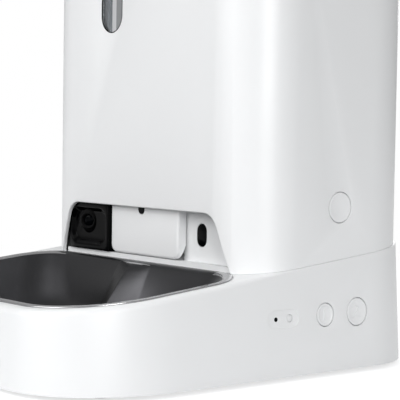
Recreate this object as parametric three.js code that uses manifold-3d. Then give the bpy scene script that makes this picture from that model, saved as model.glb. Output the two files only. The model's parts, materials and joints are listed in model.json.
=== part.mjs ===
// A camera pet feeder with two hoppers: base, lift-out bowl, lift-off tower and hinged lid.
// Millimetres, +Z up. The origin is on the floor under the centre of the base, and the front faces -Y.
import * as THREE from "three";
import { mergeVertices } from "three/addons/utils/BufferGeometryUtils.js";
import Module from "manifold-3d";

const wasm = await Module();
wasm.setup();

// Driving sizes of the whole; places named Y below are behind the tower's front face
const baseWidth = 256;
const baseLength = 316.8;
const overallHeight = 330;
const deckHeight = 69.55; // at the plane of the tower's front face
const towerDepthShare = 0.52778;
const towerSideMargin = 4.15; // from the foot of the base to the tower
const towerRearMargin = 4.7;
const towerDepth = towerDepthShare * baseLength;
const towerWidth = baseWidth - 2 * towerSideMargin;
const towerSetback = baseLength - towerDepth - towerRearMargin;
const towerHalf = towerWidth / 2;
const faceY = -baseLength / 2 + towerSetback;
const towerRear = faceY + towerDepth;
const behind = (distance) => faceY + distance;

// Base shell
const baseFrontCornerX = 65;
const baseFrontCornerY = 82.5;
const baseRearCornerShare = 0.1837;
const footHeight = 3;
const wallThickness = 2.6;
const wallFlareShare = 0.0485;
const deckSlopeShare = 0.1089;
const deckThickness = 3;
const deckEdgeSide = 0.5;
const deckEdgeFront = 4.5;
const deckEdgeFade = 70;
const baseRearCorner = baseRearCornerShare * baseLength;
const deckAt = (y) => deckHeight + deckSlopeShare * (y - faceY);
const flareAt = (z) => wallFlareShare * (z - footHeight);
const wallTilt = Math.atan(wallFlareShare);

// Tower shell
const towerFrontCorner = 41.45;
const towerRearCorner = 57;
const towerWall = 2.8;
const capHeight = 13;
const topFrameHeight = 5;
const topEdge = 5;
const seamGap = 0.4;
const frameTop = overallHeight - capHeight;
const shellTop = frameTop - topFrameHeight;

// Fits shared by many pieces
const gap = 0.3;
const cutOverrun = 1;
const cornerSteps = 9;
const shaftSides = 16;
const discSides = 24;
const weldTolerance = 1e-4;

// Rotors, their drums and the height that they stand over
const drumSideRoom = 23.85; // from a drum's far side to the tower's side
const drumMiddleRoom = 1.8;
const drumWall = 2.2;
const rotorSetForward = 5.6; // from the middle of the tower
const coreRise = 48.45;
const coreTop = deckHeight + coreRise;
const rotorX = (towerHalf - drumSideRoom) / 2;
const rotorY = towerDepth / 2 - rotorSetForward;
const drumRadius = rotorX - drumMiddleRoom - drumWall;

// Front opening of the tower
const openingRise = 39.65;
const openingSideRoom = 37.55;
const openingTopCorner = 13;
const openingCornerDrop = 7.7;
const openingSlantShare = 0.384;
const openingTop = deckHeight + openingRise;
const openingTopHalfWidth = towerHalf - openingSideRoom;

// Level window
const windowCentreX = -33.5;
const windowWidth = 25.6;
const windowLength = 66.1;
const windowDrop = 12;
const windowFlange = 2.2;
const windowHigh = shellTop - windowDrop;
const windowLow = windowHigh - windowLength;

// Bowl, with a ridge down the middle of its rear wall
const bowlSideMargin = 8.3; // from the foot of the base
const bowlFrontMargin = 10.3;
const bowlRear = 4.8; // behind the tower's front face
const bowlFrontCornerX = 59.4;
const bowlFrontCornerY = 63.7;
const bowlRearCorner = 32.5;
const bowlRise = 0.8;
const bowlFlange = 5.4;
const bowlSheet = 1.2;
const bowlUnderRoom = 35.55;
const bowlFloorInsetSide = 34;
const bowlFloorFrontShare = 0.3156; // of the bowl's length, as the next two
const bowlFloorRearShare = 0.1722;
const bowlFloorCornerShare = 0.2439;
const bowlSeatGap = 0.7;
const bowlSeatDepth = 0.9;
const bowlHoleInset = 3.2;
const bowlWallShares = [0, 0.3, 0.55, 0.78, 0.93, 1];
const bowlDepthShares = [0, 0.3, 0.58, 0.84, 0.97, 1];
const ridgeHalfWidth = 17;
const ridgeHeight = 9;
const ridgeSteps = 4;
const ridgeGrowthShares = [0, 0.7, 1, 1, 1, 1];
const bowlHalfWidth = baseWidth / 2 - bowlSideMargin;
const bowlFront = towerSetback - bowlFrontMargin; // in front of the tower's face
const bowlLength = bowlFront + bowlRear;
const bowlDepth = deckHeight - bowlUnderRoom;

// Bowl well
const wellRoom = 7;
const wellWall = 2;
const wellFlange = 1.2;
const wellClearance = 1.4;
const wellDepth = bowlDepth + wellRoom;

// Bottom cover, cells, battery bay and door
const coverLift = 0.4;
const coverThickness = 2.5;
const coverFit = 0.7;
const cellCount = 4;
const cellRadius = 16.4;
const cellLength = 58;
const cellNubRadius = 4.6;
const cellNubLength = 2;
const cellSpacing = 1.4;
const cellLift = 1;
const bayEndRoom = 6;
const baySideRoom = 1.6;
const bayRearRoom = 17.5; // to the rear of the base
const bayWall = 2;
const doorThickness = 2.2;
const doorFit = 0.6;
const doorAxisInset = 1.6;
const doorTabWidth = 30;
const doorTabLength = 9;
const doorTabThickness = 1.6;
const coverLow = footHeight + coverLift;
const coverTop = coverLow + coverThickness;
const cellPitch = 2 * cellRadius + cellSpacing;
const bayHalfWidth = (cellCount * cellPitch) / 2 + baySideRoom;
const bayRearY = baseLength / 2 - bayRearRoom; // these two from the origin
const bayFrontY = bayRearY - cellLength - cellNubLength - bayEndRoom;
const bayTop = coverLow + doorThickness + cellLift + 2 * cellRadius + gap + bayWall;

// Feet, posts and screws, at set distances from the sides and ends of the base
const footRadius = 10;
const footEdge = 1;
const footFrontSide = 32;
const footFrontEnd = 46.4;
const footRearSide = 36;
const footRearEnd = 40.4;
const postRadius = 5;
const postBore = 1.9;
const frontPostSide = 66;
const frontPostEnd = 80.4;
const rearPostSide = 22;
const rearPostEnd = 50.4;
const standoffRadius = 3.2;
const screwHeadRadius = 3.6;
const screwHeadHeight = 1.6;
const screwShankRadius = 1.6;
const screwLength = 12;
const screwHeadLift = 0.5;
const footFrontX = baseWidth / 2 - footFrontSide;
const footFrontY = baseLength / 2 - footFrontEnd;
const footRearX = Math.max(baseWidth / 2 - footRearSide, bayHalfWidth + bayWall + footRadius + gap);
const footRearY = baseLength / 2 - footRearEnd;
const frontPostX = baseWidth / 2 - frontPostSide;
const frontPostY = baseLength / 2 - frontPostEnd;
const rearPostX = baseWidth / 2 - rearPostSide;
const rearPostY = baseLength / 2 - rearPostEnd;

// Core housing inside the tower
const coreSideRoom = 11.85; // to the tower's outer face, as the next
const coreRearRoom = 17.2;
const coreFront = 14;
const coreFrontCorner = 14;
const coreRearCorner = 46;
const coreWall = 2.4;
const coreHalfWidth = towerHalf - coreSideRoom;
const coreRear = towerDepth - coreRearRoom;
const sillFront = 6.1;
const sillRise = 4.45;
const sillReach = 8.7; // past the top of the front opening
const sillTop = deckHeight + sillRise;
const sillHalfWidth = openingTopHalfWidth + sillReach;
const coreBayInset = 14;
const coreBayFrontInset = 10;
const coreBayRearInset = 12;
const coreBayCorner = 12;
const coreBayHalfWidth = coreHalfWidth - coreBayInset;
const coreBayFront = coreFront + coreBayFrontInset;
const coreBayRear = coreRear - coreBayRearInset;

// Chute, and the outlet that it leads to
const chuteSideRoom = 10; // from the rotor's axis
const chuteRearRoom = 3;
const chuteFrontRoom = 3;
const chuteWall = 2;
const chuteLift = 1.4;
const chuteRise = 40;
const chuteDrop = 0.4;
const chuteHalfWidth = rotorX - chuteSideRoom;
const chuteFront = coreFront + chuteFrontRoom;
const chuteRear = rotorY - chuteRearRoom;
const chuteLow = sillTop + chuteLift;
const chuteTop = coreTop - chuteDrop;
const outletInset = 3;
const outletRise = 38.45;
const outletHalfWidth = chuteHalfWidth - outletInset;
const outletTop = deckHeight + outletRise;
const earHeight = 3.2;
const earThickness = 2.2;
const earFront = 6.6;

// Chute flap
const flapFit = 0.4;
const flapFront = 6;
const flapBack = 13;
const flapRise = 4.95;
const flapHeight = 40.1;
const flapWall = 2.2;
const flapPivotY = 9;
const flapPivotDrop = 2;
const flapPinRadius = 1.5;
const flapPinReach = 2.2;
const flapEdge = 2.4;
const flapCorner = 6;
const flapScoopRise = 10;
const flapSensorX = -3;
const flapSensorDrop = 7;
const flapSensorRadius = 3.5;
const flapSensorDepth = 1.2;
const flapHalfWidth = chuteHalfWidth - flapFit;
const flapLow = deckHeight + flapRise;
const flapHigh = flapLow + flapHeight;
const flapPivotZ = flapHigh - flapPivotDrop;
const flapScoopHigh = flapLow + flapScoopRise;
const flapSensorZ = flapHigh - flapSensorDrop;

// Camera: X places run from the flap's side out to the edge of the front opening
const bezelFlapGap = 0.9;
const bezelReach = 6.3;
const bezelChamfer = 10.2;
const bezelFront = 3.6;
const bezelOuterFront = 5.2;
const bezelBack = 13.6;
const bezelRise = 4.85;
const bezelHeight = 34.9;
const bezelInner = -flapHalfWidth - bezelFlapGap;
const bezelOuter = -openingTopHalfWidth - bezelReach;
const bezelFlat = bezelOuter + bezelChamfer;
const bezelLow = deckHeight + bezelRise;
const bezelHigh = bezelLow + bezelHeight;
const dishInsetOuter = 3.2;
const dishInsetInner = 1.9;
const dishInsetLow = 2.8;
const dishInsetHigh = 2.7;
const dishCorner = 9;
const paneInsetOuter = 6.1;
const paneInsetInner = 5.5;
const paneInsetLow = 7;
const paneInsetHigh = 6.7;
const paneCorner = 6;
const paneDepth = 3.6;
const lensPlaceShare = 0.5585; // of the bezel's width, from the flap
const lensY = 6.2;
const lensRise = 21; // from the bezel's lower edge
const lensYaw = THREE.MathUtils.degToRad(25);
const lensPitch = THREE.MathUtils.degToRad(5);
const lensX = THREE.MathUtils.lerp(bezelInner, bezelOuter, lensPlaceShare);
const lensZ = bezelLow + lensRise;
const barrelRadius = 6.1;
const barrelBore = 4.3;
const barrelLip = 1.6;
const barrelLength = 12;
const collarRadius = 8.6;
const collarSet = 2.2;
const collarThickness = 1.6;
const lensRadius = 4;
const lensThickness = 3;
const lensCrown = 1.1;
const lensSteps = 4;

// Pill-shaped sensor window on the wall of the recess
const pillPlaceShare = 0.3512; // from the flap's side to the edge of the front opening
const pillRise = 23.05;
const pillWidth = 10;
const pillHeight = 15.8;
const pillProud = 0.2;
const pillDepth = 3.4;
const pillFlange = 1.6;
const pillX = THREE.MathUtils.lerp(flapHalfWidth, openingTopHalfWidth, pillPlaceShare);
const pillZ = deckHeight + pillRise;

// Controls on the side of the base, placed along it by shares of the tower's depth
const controlDrop = 27.75;
const microphoneShare = 0.122;
const indicatorShare = 0.1956;
const feedOneShare = 0.3906;
const feedTwoShare = 0.5718;
const feedOneRadius = 7.6;
const feedTwoRadius = 9.35;
const feedFit = 0.35;
const feedCap = 3.1;
const feedCapEdge = 0.5;
const feedFlange = 1.6;
const feedFlangeThickness = 1.4;
const feedStemRadius = 2.4;
const feedStemLength = 2.2;
const pinholeRadius = 1.5;
const microphoneRadius = 3;
const microphoneDepth = 5;
const indicatorRadius = 2.3;
const indicatorDepth = 6.4;
const dishWidth = 28;
const dishHeight = 12;
const dishSunk = 0.5;
const controlHeight = deckHeight - controlDrop;
const microphoneY = microphoneShare * towerDepth;
const indicatorY = indicatorShare * towerDepth;
const feedOneY = feedOneShare * towerDepth;
const feedTwoY = feedTwoShare * towerDepth;

// Button board
const boardInset = 12.8;
const boardThickness = 1.6;
const boardHalfHeight = 10;
const boardFrontMargin = 12.4;
const boardRearMargin = 20.4;
const boardPostFrontMargin = 14.3;
const boardPostRearMargin = 15.4;
const boardPostRadius = 2.4;
const switchSize = 6;
const switchHeight = 1;
const boardX = baseWidth / 2 - boardInset;

// Drive under each rotor
const gearModule = 1.4;
const gearTeeth = 30;
const pinionTeeth = 12;
const toothHeightShare = 0.92;
const toothRootShare = 1.2;
const toothSlack = 0.35;
const gearThickness = 6;
const driveJournal = 4;
const driveShaft = 6;
const driveFit = 0.4;
const dogAcross = 10;
const dogRise = 15;
const motorAngle = THREE.MathUtils.degToRad(37);
const motorRadius = 14;
const motorHeight = 30;
const motorBossRadius = 5;
const motorBossHeight = 2;
const pinionStubRadius = 2;
const frameDrop = 33.3; // below the top of the core
const frameThickness = 2.4;
const frameFrontRoom = 26;
const frameRearRoom = 23;
const frameSideRoom = 8;
const frameCorner = 10;
const gearRoom = 1.9;
const corePostInset = 6;
const corePostFrontInset = 8;
const corePostRearInset = 9;
const corePostRadius = 4;
const frameLow = coreTop - frameDrop;
const frameHigh = frameLow + frameThickness;
const gearLow = frameHigh + gearRoom;
const dogTop = coreTop + dogRise;
const frameHalfWidth = coreHalfWidth - frameSideRoom;
const frameFront = rotorY - frameFrontRoom;
const frameRear = coreRear - frameRearRoom;
const corePostX = frameHalfWidth - corePostInset;
const corePostFront = frameFront + corePostFrontInset;
const corePostRear = frameRear - corePostRearInset;

// Drum plate, rotors and baffles
const drumLift = 1.6;
const drumPlate = 2.4;
const drumHeight = 27.6;
const drumShaftHole = 7.6;
const drumOutletRim = 14; // from the drum's wall to the far sides of its outlet
const drumOutletNearX = 12; // from the rotor's axis, as the next
const drumOutletNearY = 7;
const drumOutletCorner = 4;
const rotorClearance = 0.8;
const rotorHub = 11;
const rotorVanes = 6;
const vaneThickness = 2.6;
const hubRoof = 3;
const baffleThickness = 1.8;
const baffleAngle = THREE.MathUtils.degToRad(225);
const baffleHalfAngle = THREE.MathUtils.degToRad(42);
const baffleSteps = 8;
const baffleInner = 12;
const drumLow = coreTop + drumLift;
const drumTop = drumLow + drumHeight;
const rotorTop = drumTop - rotorClearance;

// Hoppers
const hopperWall = 2;
const hopperFrontY = 4.4;
const hopperRearRoom = 27.7;
const hopperSideFit = 2.6;
const hopperSplit = 1.2;
const hopperOuterFront = 36;
const hopperOuterRear = 47;
const hopperInnerCorner = 8;
const hopperLift = 2.4;
const hopperShoulderShare = 0.301; // of the hopper's height
const hopperSteps = 5;
const drumFlat = 0.6;
const hopperRearY = towerDepth - hopperRearRoom;
const hopperLow = drumTop + hopperLift;
const hopperShoulder = THREE.MathUtils.lerp(hopperLow, frameTop, hopperShoulderShare);

// Top frame, lid and hinge
const hingeRearRoom = 17.2;
const hingeDrop = 6; // pin axis under the top face, which is also the barrel's radius
const hingeFit = 0.5;
const hingeSideRoom = 33.85;
const hingeGap = 0.4;
const earSideRoom = 24.85;
const pinRadius = 2;
const pinFit = 0.35;
const lidWall = 2.4;
const lidGap = 0.3;
const lidRearRoom = 23.5;
const linerLift = 2.2;
const linerThickness = 2;
const linerFit = 0.5;
const sealHeight = 1.2;
const sealWidth = 2.6;
const dryRadius = 34;
const dryHeight = 6.4;
const dryWall = 1.6;
const drySetForward = 9.6; // from the middle of the tower
const drySlotLength = 36;
const drySlotWidth = 4;
const drySlotDepth = 0.9;
const latchHalfWidth = 18;
const latchLift = 3.4;
const latchHeight = 4.2;
const latchFit = 0.4;
const latchTravel = 2;
const latchFlange = 1.4;
const latchFlangeThickness = 1.4;
const hingeY = towerDepth - hingeRearRoom;
const lidBarrelHalf = towerHalf - hingeSideRoom;
const earHalf = towerHalf - earSideRoom;
const lidRearY = towerDepth - lidRearRoom;
const linerLow = frameTop + linerLift;
const dryY = towerDepth / 2 - drySetForward;
const latchLow = frameTop + latchLift;
const latchHigh = latchLow + latchHeight;

// Release buttons on the tower's sides
const releaseShare = 0.4755; // of the tower's depth
const releaseRise = 44.25;
const releaseRadius = 10.25;
const releaseFit = 0.35;
const releaseFlange = 2;
const releaseFlangeThickness = 2;
const releaseEdge = 0.5;
const tongueWidth = 10;
const tongueThickness = 2.2;
const tongueLength = 27.8;
const catchHeight = 4;
const catchReach = 1.2;
const catchWidth = 12;
const catchGap = 0.6;
const notchHalfWidth = 14;
const notchDepth = 6;
const releaseY = releaseShare * towerDepth;
const releaseZ = deckHeight + releaseRise;
const tongueLow = releaseZ - tongueLength;

// Main board, speaker and inlet
const mainBoardHalfWidth = 60;
const mainBoardFrontY = 24;
const mainBoardRearRoom = 2; // in front of the rotors' axes
const mainBoardDrop = 21.55;
const mainBoardPostX = 52;
const mainBoardPostInset = 6;
const chipSize = 16;
const chipHeight = 2.4;
const speakerSide = 38;
const speakerY = 34;
const speakerRadius = 20;
const speakerMagnet = 11;
const speakerRim = 3;
const speakerHeight = 12;
const slotLength = 22;
const slotWidth = 2.4;
const slotPitch = 5;
const slotCount = 5;
const inletX = 44;
const inletZ = 26;
const inletWidth = 15;
const inletHeight = 11;
const inletDepth = 13;
const inletWall = 1.8;
const inletFloor = 3;
const mainBoardRearY = rotorY - mainBoardRearRoom;
const mainBoardZ = deckHeight - mainBoardDrop;
const speakerX = speakerSide - baseWidth / 2;

// Solids from three.js geometry, and the joins and cuts between them
function solid(geometry) {
  const bare = new THREE.BufferGeometry();
  bare.setAttribute("position", geometry.getAttribute("position"));
  if (geometry.index) bare.setIndex(geometry.index);
  const merged = mergeVertices(bare, weldTolerance);
  const corners = Array.from(merged.index.array);
  const triangles = [];
  for (let i = 0; i < corners.length; i += 3) {
    const [a, b, c] = corners.slice(i, i + 3);
    if (a !== b && b !== c && c !== a) triangles.push(a, b, c);
  }
  const build = (list) =>
    new wasm.Manifold(
      new wasm.Mesh({
        numProp: 3,
        vertProperties: merged.attributes.position.array,
        triVerts: new Uint32Array(list),
      }),
    );
  const made = build(triangles);
  return made.volume() < 0 ? build(triangles.reverse()) : made;
}

function geometryOf(made) {
  const mesh = made.getMesh();
  const geometry = new THREE.BufferGeometry();
  geometry.setAttribute(
    "position",
    new THREE.BufferAttribute(new Float32Array(mesh.vertProperties), 3),
  );
  geometry.setIndex(new THREE.BufferAttribute(new Uint32Array(mesh.triVerts), 1));
  geometry.computeVertexNormals();
  return geometry;
}

const join = (first, ...rest) => rest.reduce((whole, piece) => whole.add(piece), first);
const cut = (first, ...rest) => rest.reduce((whole, piece) => whole.subtract(piece), first);

// A block between two corners
function block(x0, x1, y0, y1, z0, z1) {
  const geometry = new THREE.BoxGeometry(x1 - x0, y1 - y0, z1 - z0);
  return solid(geometry.translate((x0 + x1) / 2, (y0 + y1) / 2, (z0 + z1) / 2));
}

// Outlines extruded along each axis: points are (x, y), (x, z) and (y, z)
function prism(points, low, high) {
  const shape = new THREE.Shape(points);
  const geometry = new THREE.ExtrudeGeometry(shape, { depth: high - low, bevelEnabled: false });
  return solid(geometry.translate(0, 0, low));
}

function prismAlongY(points, front, rear) {
  const shape = new THREE.Shape(points);
  const geometry = new THREE.ExtrudeGeometry(shape, { depth: rear - front, bevelEnabled: false });
  return solid(geometry.rotateX(Math.PI / 2).translate(0, rear, 0));
}

function prismAlongX(points, left, right) {
  const shape = new THREE.Shape(points);
  const geometry = new THREE.ExtrudeGeometry(shape, { depth: right - left, bevelEnabled: false });
  geometry.rotateX(Math.PI / 2).rotateZ(Math.PI / 2);
  return solid(geometry.translate(left, 0, 0));
}

const rodGeometry = (radius, length, sides) => new THREE.CylinderGeometry(radius, radius, length, sides);

function rod(radius, x, y, low, high, sides = discSides) {
  const geometry = rodGeometry(radius, high - low, sides).rotateX(Math.PI / 2);
  return solid(geometry.translate(x, y, (low + high) / 2));
}

function rodAlongX(radius, left, right, y, z, sides = discSides) {
  const geometry = rodGeometry(radius, right - left, sides).rotateZ(Math.PI / 2);
  return solid(geometry.translate((left + right) / 2, y, z));
}

function rodAlongY(radius, front, rear, x, z, sides = discSides) {
  return solid(rodGeometry(radius, rear - front, sides).translate(x, (front + rear) / 2, z));
}

// A profile of (radius, height) points turned about the Z axis
function turned(profile, sides = discSides) {
  const points = profile.map(([radius, height]) => new THREE.Vector2(radius, height));
  return solid(new THREE.LatheGeometry(points, sides).rotateX(Math.PI / 2));
}

// A box in plan with its own radii at each corner: front right, rear right, rear left, front left
function footprint(left, right, front, rear, radii) {
  return { left, right, front, rear, radii };
}

function outline(foot, inset = 0, steps = cornerSteps) {
  const signs = [
    [1, -1],
    [1, 1],
    [-1, 1],
    [-1, -1],
  ];
  const points = [];
  signs.forEach(([sx, sy], corner) => {
    const [rx, ry] = foot.radii[corner].map((radius) => Math.max(radius - inset, gap));
    const edgeX = sx > 0 ? foot.right - inset : foot.left + inset;
    const edgeY = sy > 0 ? foot.rear - inset : foot.front + inset;
    const start = ((corner - 1) * Math.PI) / 2;
    for (let i = 0; i <= steps; i += 1) {
      const angle = start + (i / steps) * (Math.PI / 2);
      points.push(
        new THREE.Vector2(edgeX - sx * rx + rx * Math.cos(angle), edgeY - sy * ry + ry * Math.sin(angle)),
      );
    }
  });
  return points;
}

const evenRadii = (radius) => [0, 1, 2, 3].map(() => [radius, radius]);

function roundedBox(left, right, low, high, radius, steps) {
  return outline(footprint(left, right, low, high, evenRadii(radius)), 0, steps);
}

const ring = (points, heightAt) => points.map((p) => new THREE.Vector3(p.x, p.y, heightAt(p)));
const level = (height) => () => height;
const overDeck = (offset) => (p) => deckAt(p.y) + offset;

// Rings of equal length skinned in order; the ends are capped, or the last ring meets the first
function loft(rings, closed = false) {
  const count = rings[0].length;
  const positions = rings.flat().flatMap((p) => [p.x, p.y, p.z]);
  const index = [];
  const bands = closed ? rings.length : rings.length - 1;
  for (let k = 0; k < bands; k += 1) {
    const low = k * count;
    const high = ((k + 1) % rings.length) * count;
    for (let i = 0; i < count; i += 1) {
      const next = (i + 1) % count;
      index.push(low + i, low + next, high + next, low + i, high + next, high + i);
    }
  }
  if (!closed) {
    const last = (rings.length - 1) * count;
    const flat = (one) => one.map((p) => new THREE.Vector2(p.x, p.y));
    THREE.ShapeUtils.triangulateShape(flat(rings[0]), []).forEach(([a, b, c]) => index.push(c, b, a));
    THREE.ShapeUtils.triangulateShape(flat(rings.at(-1)), []).forEach(([a, b, c]) =>
      index.push(last + a, last + b, last + c),
    );
  }
  const geometry = new THREE.BufferGeometry();
  geometry.setAttribute("position", new THREE.Float32BufferAttribute(positions, 3));
  geometry.setIndex(index);
  return solid(geometry);
}

const mixPoints = (one, other, share) => one.map((p, i) => p.clone().lerp(other[i], share));

// Footprints in plan
const baseFoot = footprint(-baseWidth / 2, baseWidth / 2, -baseLength / 2, baseLength / 2, [
  [baseFrontCornerX, baseFrontCornerY],
  [baseRearCorner, baseRearCorner],
  [baseRearCorner, baseRearCorner],
  [baseFrontCornerX, baseFrontCornerY],
]);
const towerFoot = footprint(-towerHalf, towerHalf, faceY, towerRear, [
  [towerFrontCorner, towerFrontCorner],
  [towerRearCorner, towerRearCorner],
  [towerRearCorner, towerRearCorner],
  [towerFrontCorner, towerFrontCorner],
]);
const bowlFoot = footprint(-bowlHalfWidth, bowlHalfWidth, faceY - bowlFront, behind(bowlRear), [
  [bowlFrontCornerX, bowlFrontCornerY],
  [bowlRearCorner, bowlRearCorner],
  [bowlRearCorner, bowlRearCorner],
  [bowlFrontCornerX, bowlFrontCornerY],
]);
const bowlFloorFoot = footprint(
  bowlFoot.left + bowlFloorInsetSide,
  bowlFoot.right - bowlFloorInsetSide,
  bowlFoot.front + bowlFloorFrontShare * bowlLength,
  bowlFoot.rear - bowlFloorRearShare * bowlLength,
  evenRadii(bowlFloorCornerShare * bowlLength),
);
const coreFoot = footprint(-coreHalfWidth, coreHalfWidth, behind(coreFront), behind(coreRear), [
  [coreFrontCorner, coreFrontCorner],
  [coreRearCorner, coreRearCorner],
  [coreRearCorner, coreRearCorner],
  [coreFrontCorner, coreFrontCorner],
]);

// A point on the side wall of the base, and a turned solid set square to that wall
const wallPoint = (y, side) => [side * (baseWidth / 2 - flareAt(controlHeight)), y, controlHeight];

function onSideWall(geometrySolid, y) {
  const geometry = geometryOf(geometrySolid).rotateY(Math.PI / 2 - wallTilt);
  return solid(geometry.translate(...wallPoint(y, 1)));
}

// Base shell: flared walls, a rounded sloping deck, the bowl's seat and the holes for the controls
function edgeRadiusAt(y) {
  const share = THREE.MathUtils.smoothstep(behind(towerFrontCorner) - y, 0, deckEdgeFade);
  return THREE.MathUtils.lerp(deckEdgeSide, deckEdgeFront, share);
}

function baseRing(turn) {
  const rough = outline(baseFoot, wallThickness);
  return rough.map((guess, i) => {
    const radius = edgeRadiusAt(guess.y);
    const angle = (turn * Math.PI) / 2;
    const inset = flareAt(deckAt(guess.y) - radius) + radius * (1 - Math.cos(angle));
    const p = outline(baseFoot, inset)[i];
    return new THREE.Vector3(p.x, p.y, deckAt(p.y) - radius * (1 - Math.sin(angle)));
  });
}

function baseCavityTop() {
  const rough = outline(baseFoot, wallThickness);
  return rough.map((guess, i) => {
    const p = outline(baseFoot, flareAt(deckAt(guess.y)) + wallThickness)[i];
    return new THREE.Vector3(p.x, p.y, deckAt(p.y) - deckThickness);
  });
}

function makeBaseShell() {
  const edgeTurnShares = [0, 0.33, 0.67, 1];
  const outer = loft([ring(outline(baseFoot), level(footHeight)), ...edgeTurnShares.map(baseRing)]);
  const inner = loft([
    ring(
      outline(baseFoot, wallThickness - flareAt(footHeight + cutOverrun)),
      level(footHeight - cutOverrun),
    ),
    baseCavityTop(),
  ]);
  const seat = loft([
    ring(outline(bowlFoot, -bowlSeatGap), overDeck(-bowlSeatDepth)),
    ring(outline(bowlFoot, -bowlSeatGap), overDeck(cutOverrun)),
  ]);
  const bowlHole = loft([
    ring(outline(bowlFoot, bowlHoleInset), overDeck(-deckThickness - cutOverrun)),
    ring(outline(bowlFoot, bowlHoleInset), overDeck(cutOverrun)),
  ]);
  const coreBay = prism(
    roundedBox(
      -coreBayHalfWidth, coreBayHalfWidth, behind(coreBayFront), behind(coreBayRear), coreBayCorner, 3,
    ),
    deckAt(behind(coreBayFront)) - deckThickness - cutOverrun,
    deckAt(behind(coreBayRear)) + cutOverrun,
  );
  const wallReach = wallThickness + cutOverrun + cutOverrun;
  const throughWall = (radius, y) =>
    onSideWall(turned([[0, -wallReach], [radius, -wallReach], [radius, cutOverrun], [0, cutOverrun]]), y);
  const dishY = (microphoneY + indicatorY) / 2;
  const dish = onSideWall(
    prism(
      roundedBox(-dishHeight / 2, dishHeight / 2, -dishWidth / 2, dishWidth / 2, dishHeight / 2, 6),
      -dishSunk,
      cutOverrun,
    ),
    behind(dishY),
  );
  const posts = [-1, 1].map((side) =>
    rod(postRadius, side * rearPostX, rearPostY, coverTop + gap, deckAt(rearPostY) - gap, shaftSides),
  );
  const bores = [-1, 1].map((side) =>
    rod(postBore, side * rearPostX, rearPostY, coverLow, coverTop + screwLength, 12),
  );
  const boardPosts = [indicatorY + boardPostFrontMargin, feedTwoY + boardPostRearMargin].map((y) =>
    rodAlongX(
      boardPostRadius, boardX + boardThickness + gap, wallPoint(0, 1)[0] - gap, behind(y), controlHeight, 12,
    ),
  );
  const inletHole = block(
    inletX - inletWidth / 2 - gap,
    inletX + inletWidth / 2 + gap,
    baseLength / 2 - inletDepth,
    baseLength / 2 + cutOverrun,
    inletZ - inletHeight / 2 - gap,
    inletZ + inletHeight / 2 + gap,
  );
  const hollow = cut(outer, inner);
  return cut(
    join(hollow, ...posts, ...boardPosts),
    seat,
    bowlHole,
    coreBay,
    dish,
    throughWall(pinholeRadius, behind(microphoneY)),
    throughWall(indicatorRadius + gap, behind(indicatorY)),
    throughWall(feedOneRadius + feedFit, behind(feedOneY)),
    throughWall(feedTwoRadius + feedFit, behind(feedTwoY)),
    inletHole,
    ...bores,
  );
}

// An outline of the bowl, with points across its rear edge that a ridge pushes forward
function bowlOutline(foot, inset = 0, growth = 0) {
  const points = outline(foot, inset);
  const rearEdge = 2 * (cornerSteps + 1);
  const ridge = Array.from({ length: 2 * ridgeSteps + 1 }, (_, i) => {
    const share = 1 - i / ridgeSteps;
    const bulge = growth * ridgeHeight * Math.cos((share * Math.PI) / 2) ** 2;
    return new THREE.Vector2(share * ridgeHalfWidth, foot.rear - inset - bulge);
  });
  return [...points.slice(0, rearEdge), ...ridge, ...points.slice(rearEdge)];
}

// Bowl: one drawn sheet, its floor parallel to the deck
function bowlRing(step, drop, inset) {
  const top = bowlOutline(bowlFoot, bowlFlange + inset, ridgeGrowthShares[step]);
  const floor = bowlOutline(bowlFloorFoot, inset, ridgeGrowthShares[step]);
  return ring(mixPoints(top, floor, bowlWallShares[step]), overDeck(bowlRise - drop));
}

function makeBowl() {
  const inside = bowlDepthShares.map((depth, i) => bowlRing(i, depth * bowlDepth, 0));
  const outside = bowlDepthShares.map((depth, i) =>
    bowlRing(i, depth * bowlDepth + bowlSheet, -bowlSheet * (1 - bowlWallShares[i] / 2)),
  );
  const rimTop = ring(bowlOutline(bowlFoot), overDeck(bowlRise));
  const rimLow = ring(bowlOutline(bowlFoot), overDeck(bowlRise - bowlSheet));
  return loft([...outside.reverse(), rimLow, rimTop, ...inside]);
}

// Bowl well: a tub glued under the deck, with posts for the front cover screws
function makeBowlWell() {
  const under = -deckThickness - gap;
  const wall = bowlHoleInset - wellClearance;
  const tub = loft([
    ring(outline(bowlFoot, wall - wellWall), overDeck(-wellDepth - wellWall)),
    ring(outline(bowlFoot, wall - wellWall), overDeck(under - wellWall)),
    ring(outline(bowlFoot, wall - wellWall - wellFlange), overDeck(under - wellWall)),
    ring(outline(bowlFoot, wall - wellWall - wellFlange), overDeck(under)),
    ring(outline(bowlFoot, wall), overDeck(under)),
    ring(outline(bowlFoot, wall), overDeck(-wellDepth)),
  ]);
  const posts = [-1, 1].map((side) =>
    rod(
      postRadius, side * frontPostX, -frontPostY, coverTop + gap,
      deckAt(-frontPostY) - wellDepth - gap, shaftSides,
    ),
  );
  const bores = [-1, 1].map((side) =>
    rod(postBore, side * frontPostX, -frontPostY, coverLow, coverTop + screwLength, 12),
  );
  return cut(join(tub, ...posts), ...bores);
}

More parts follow.
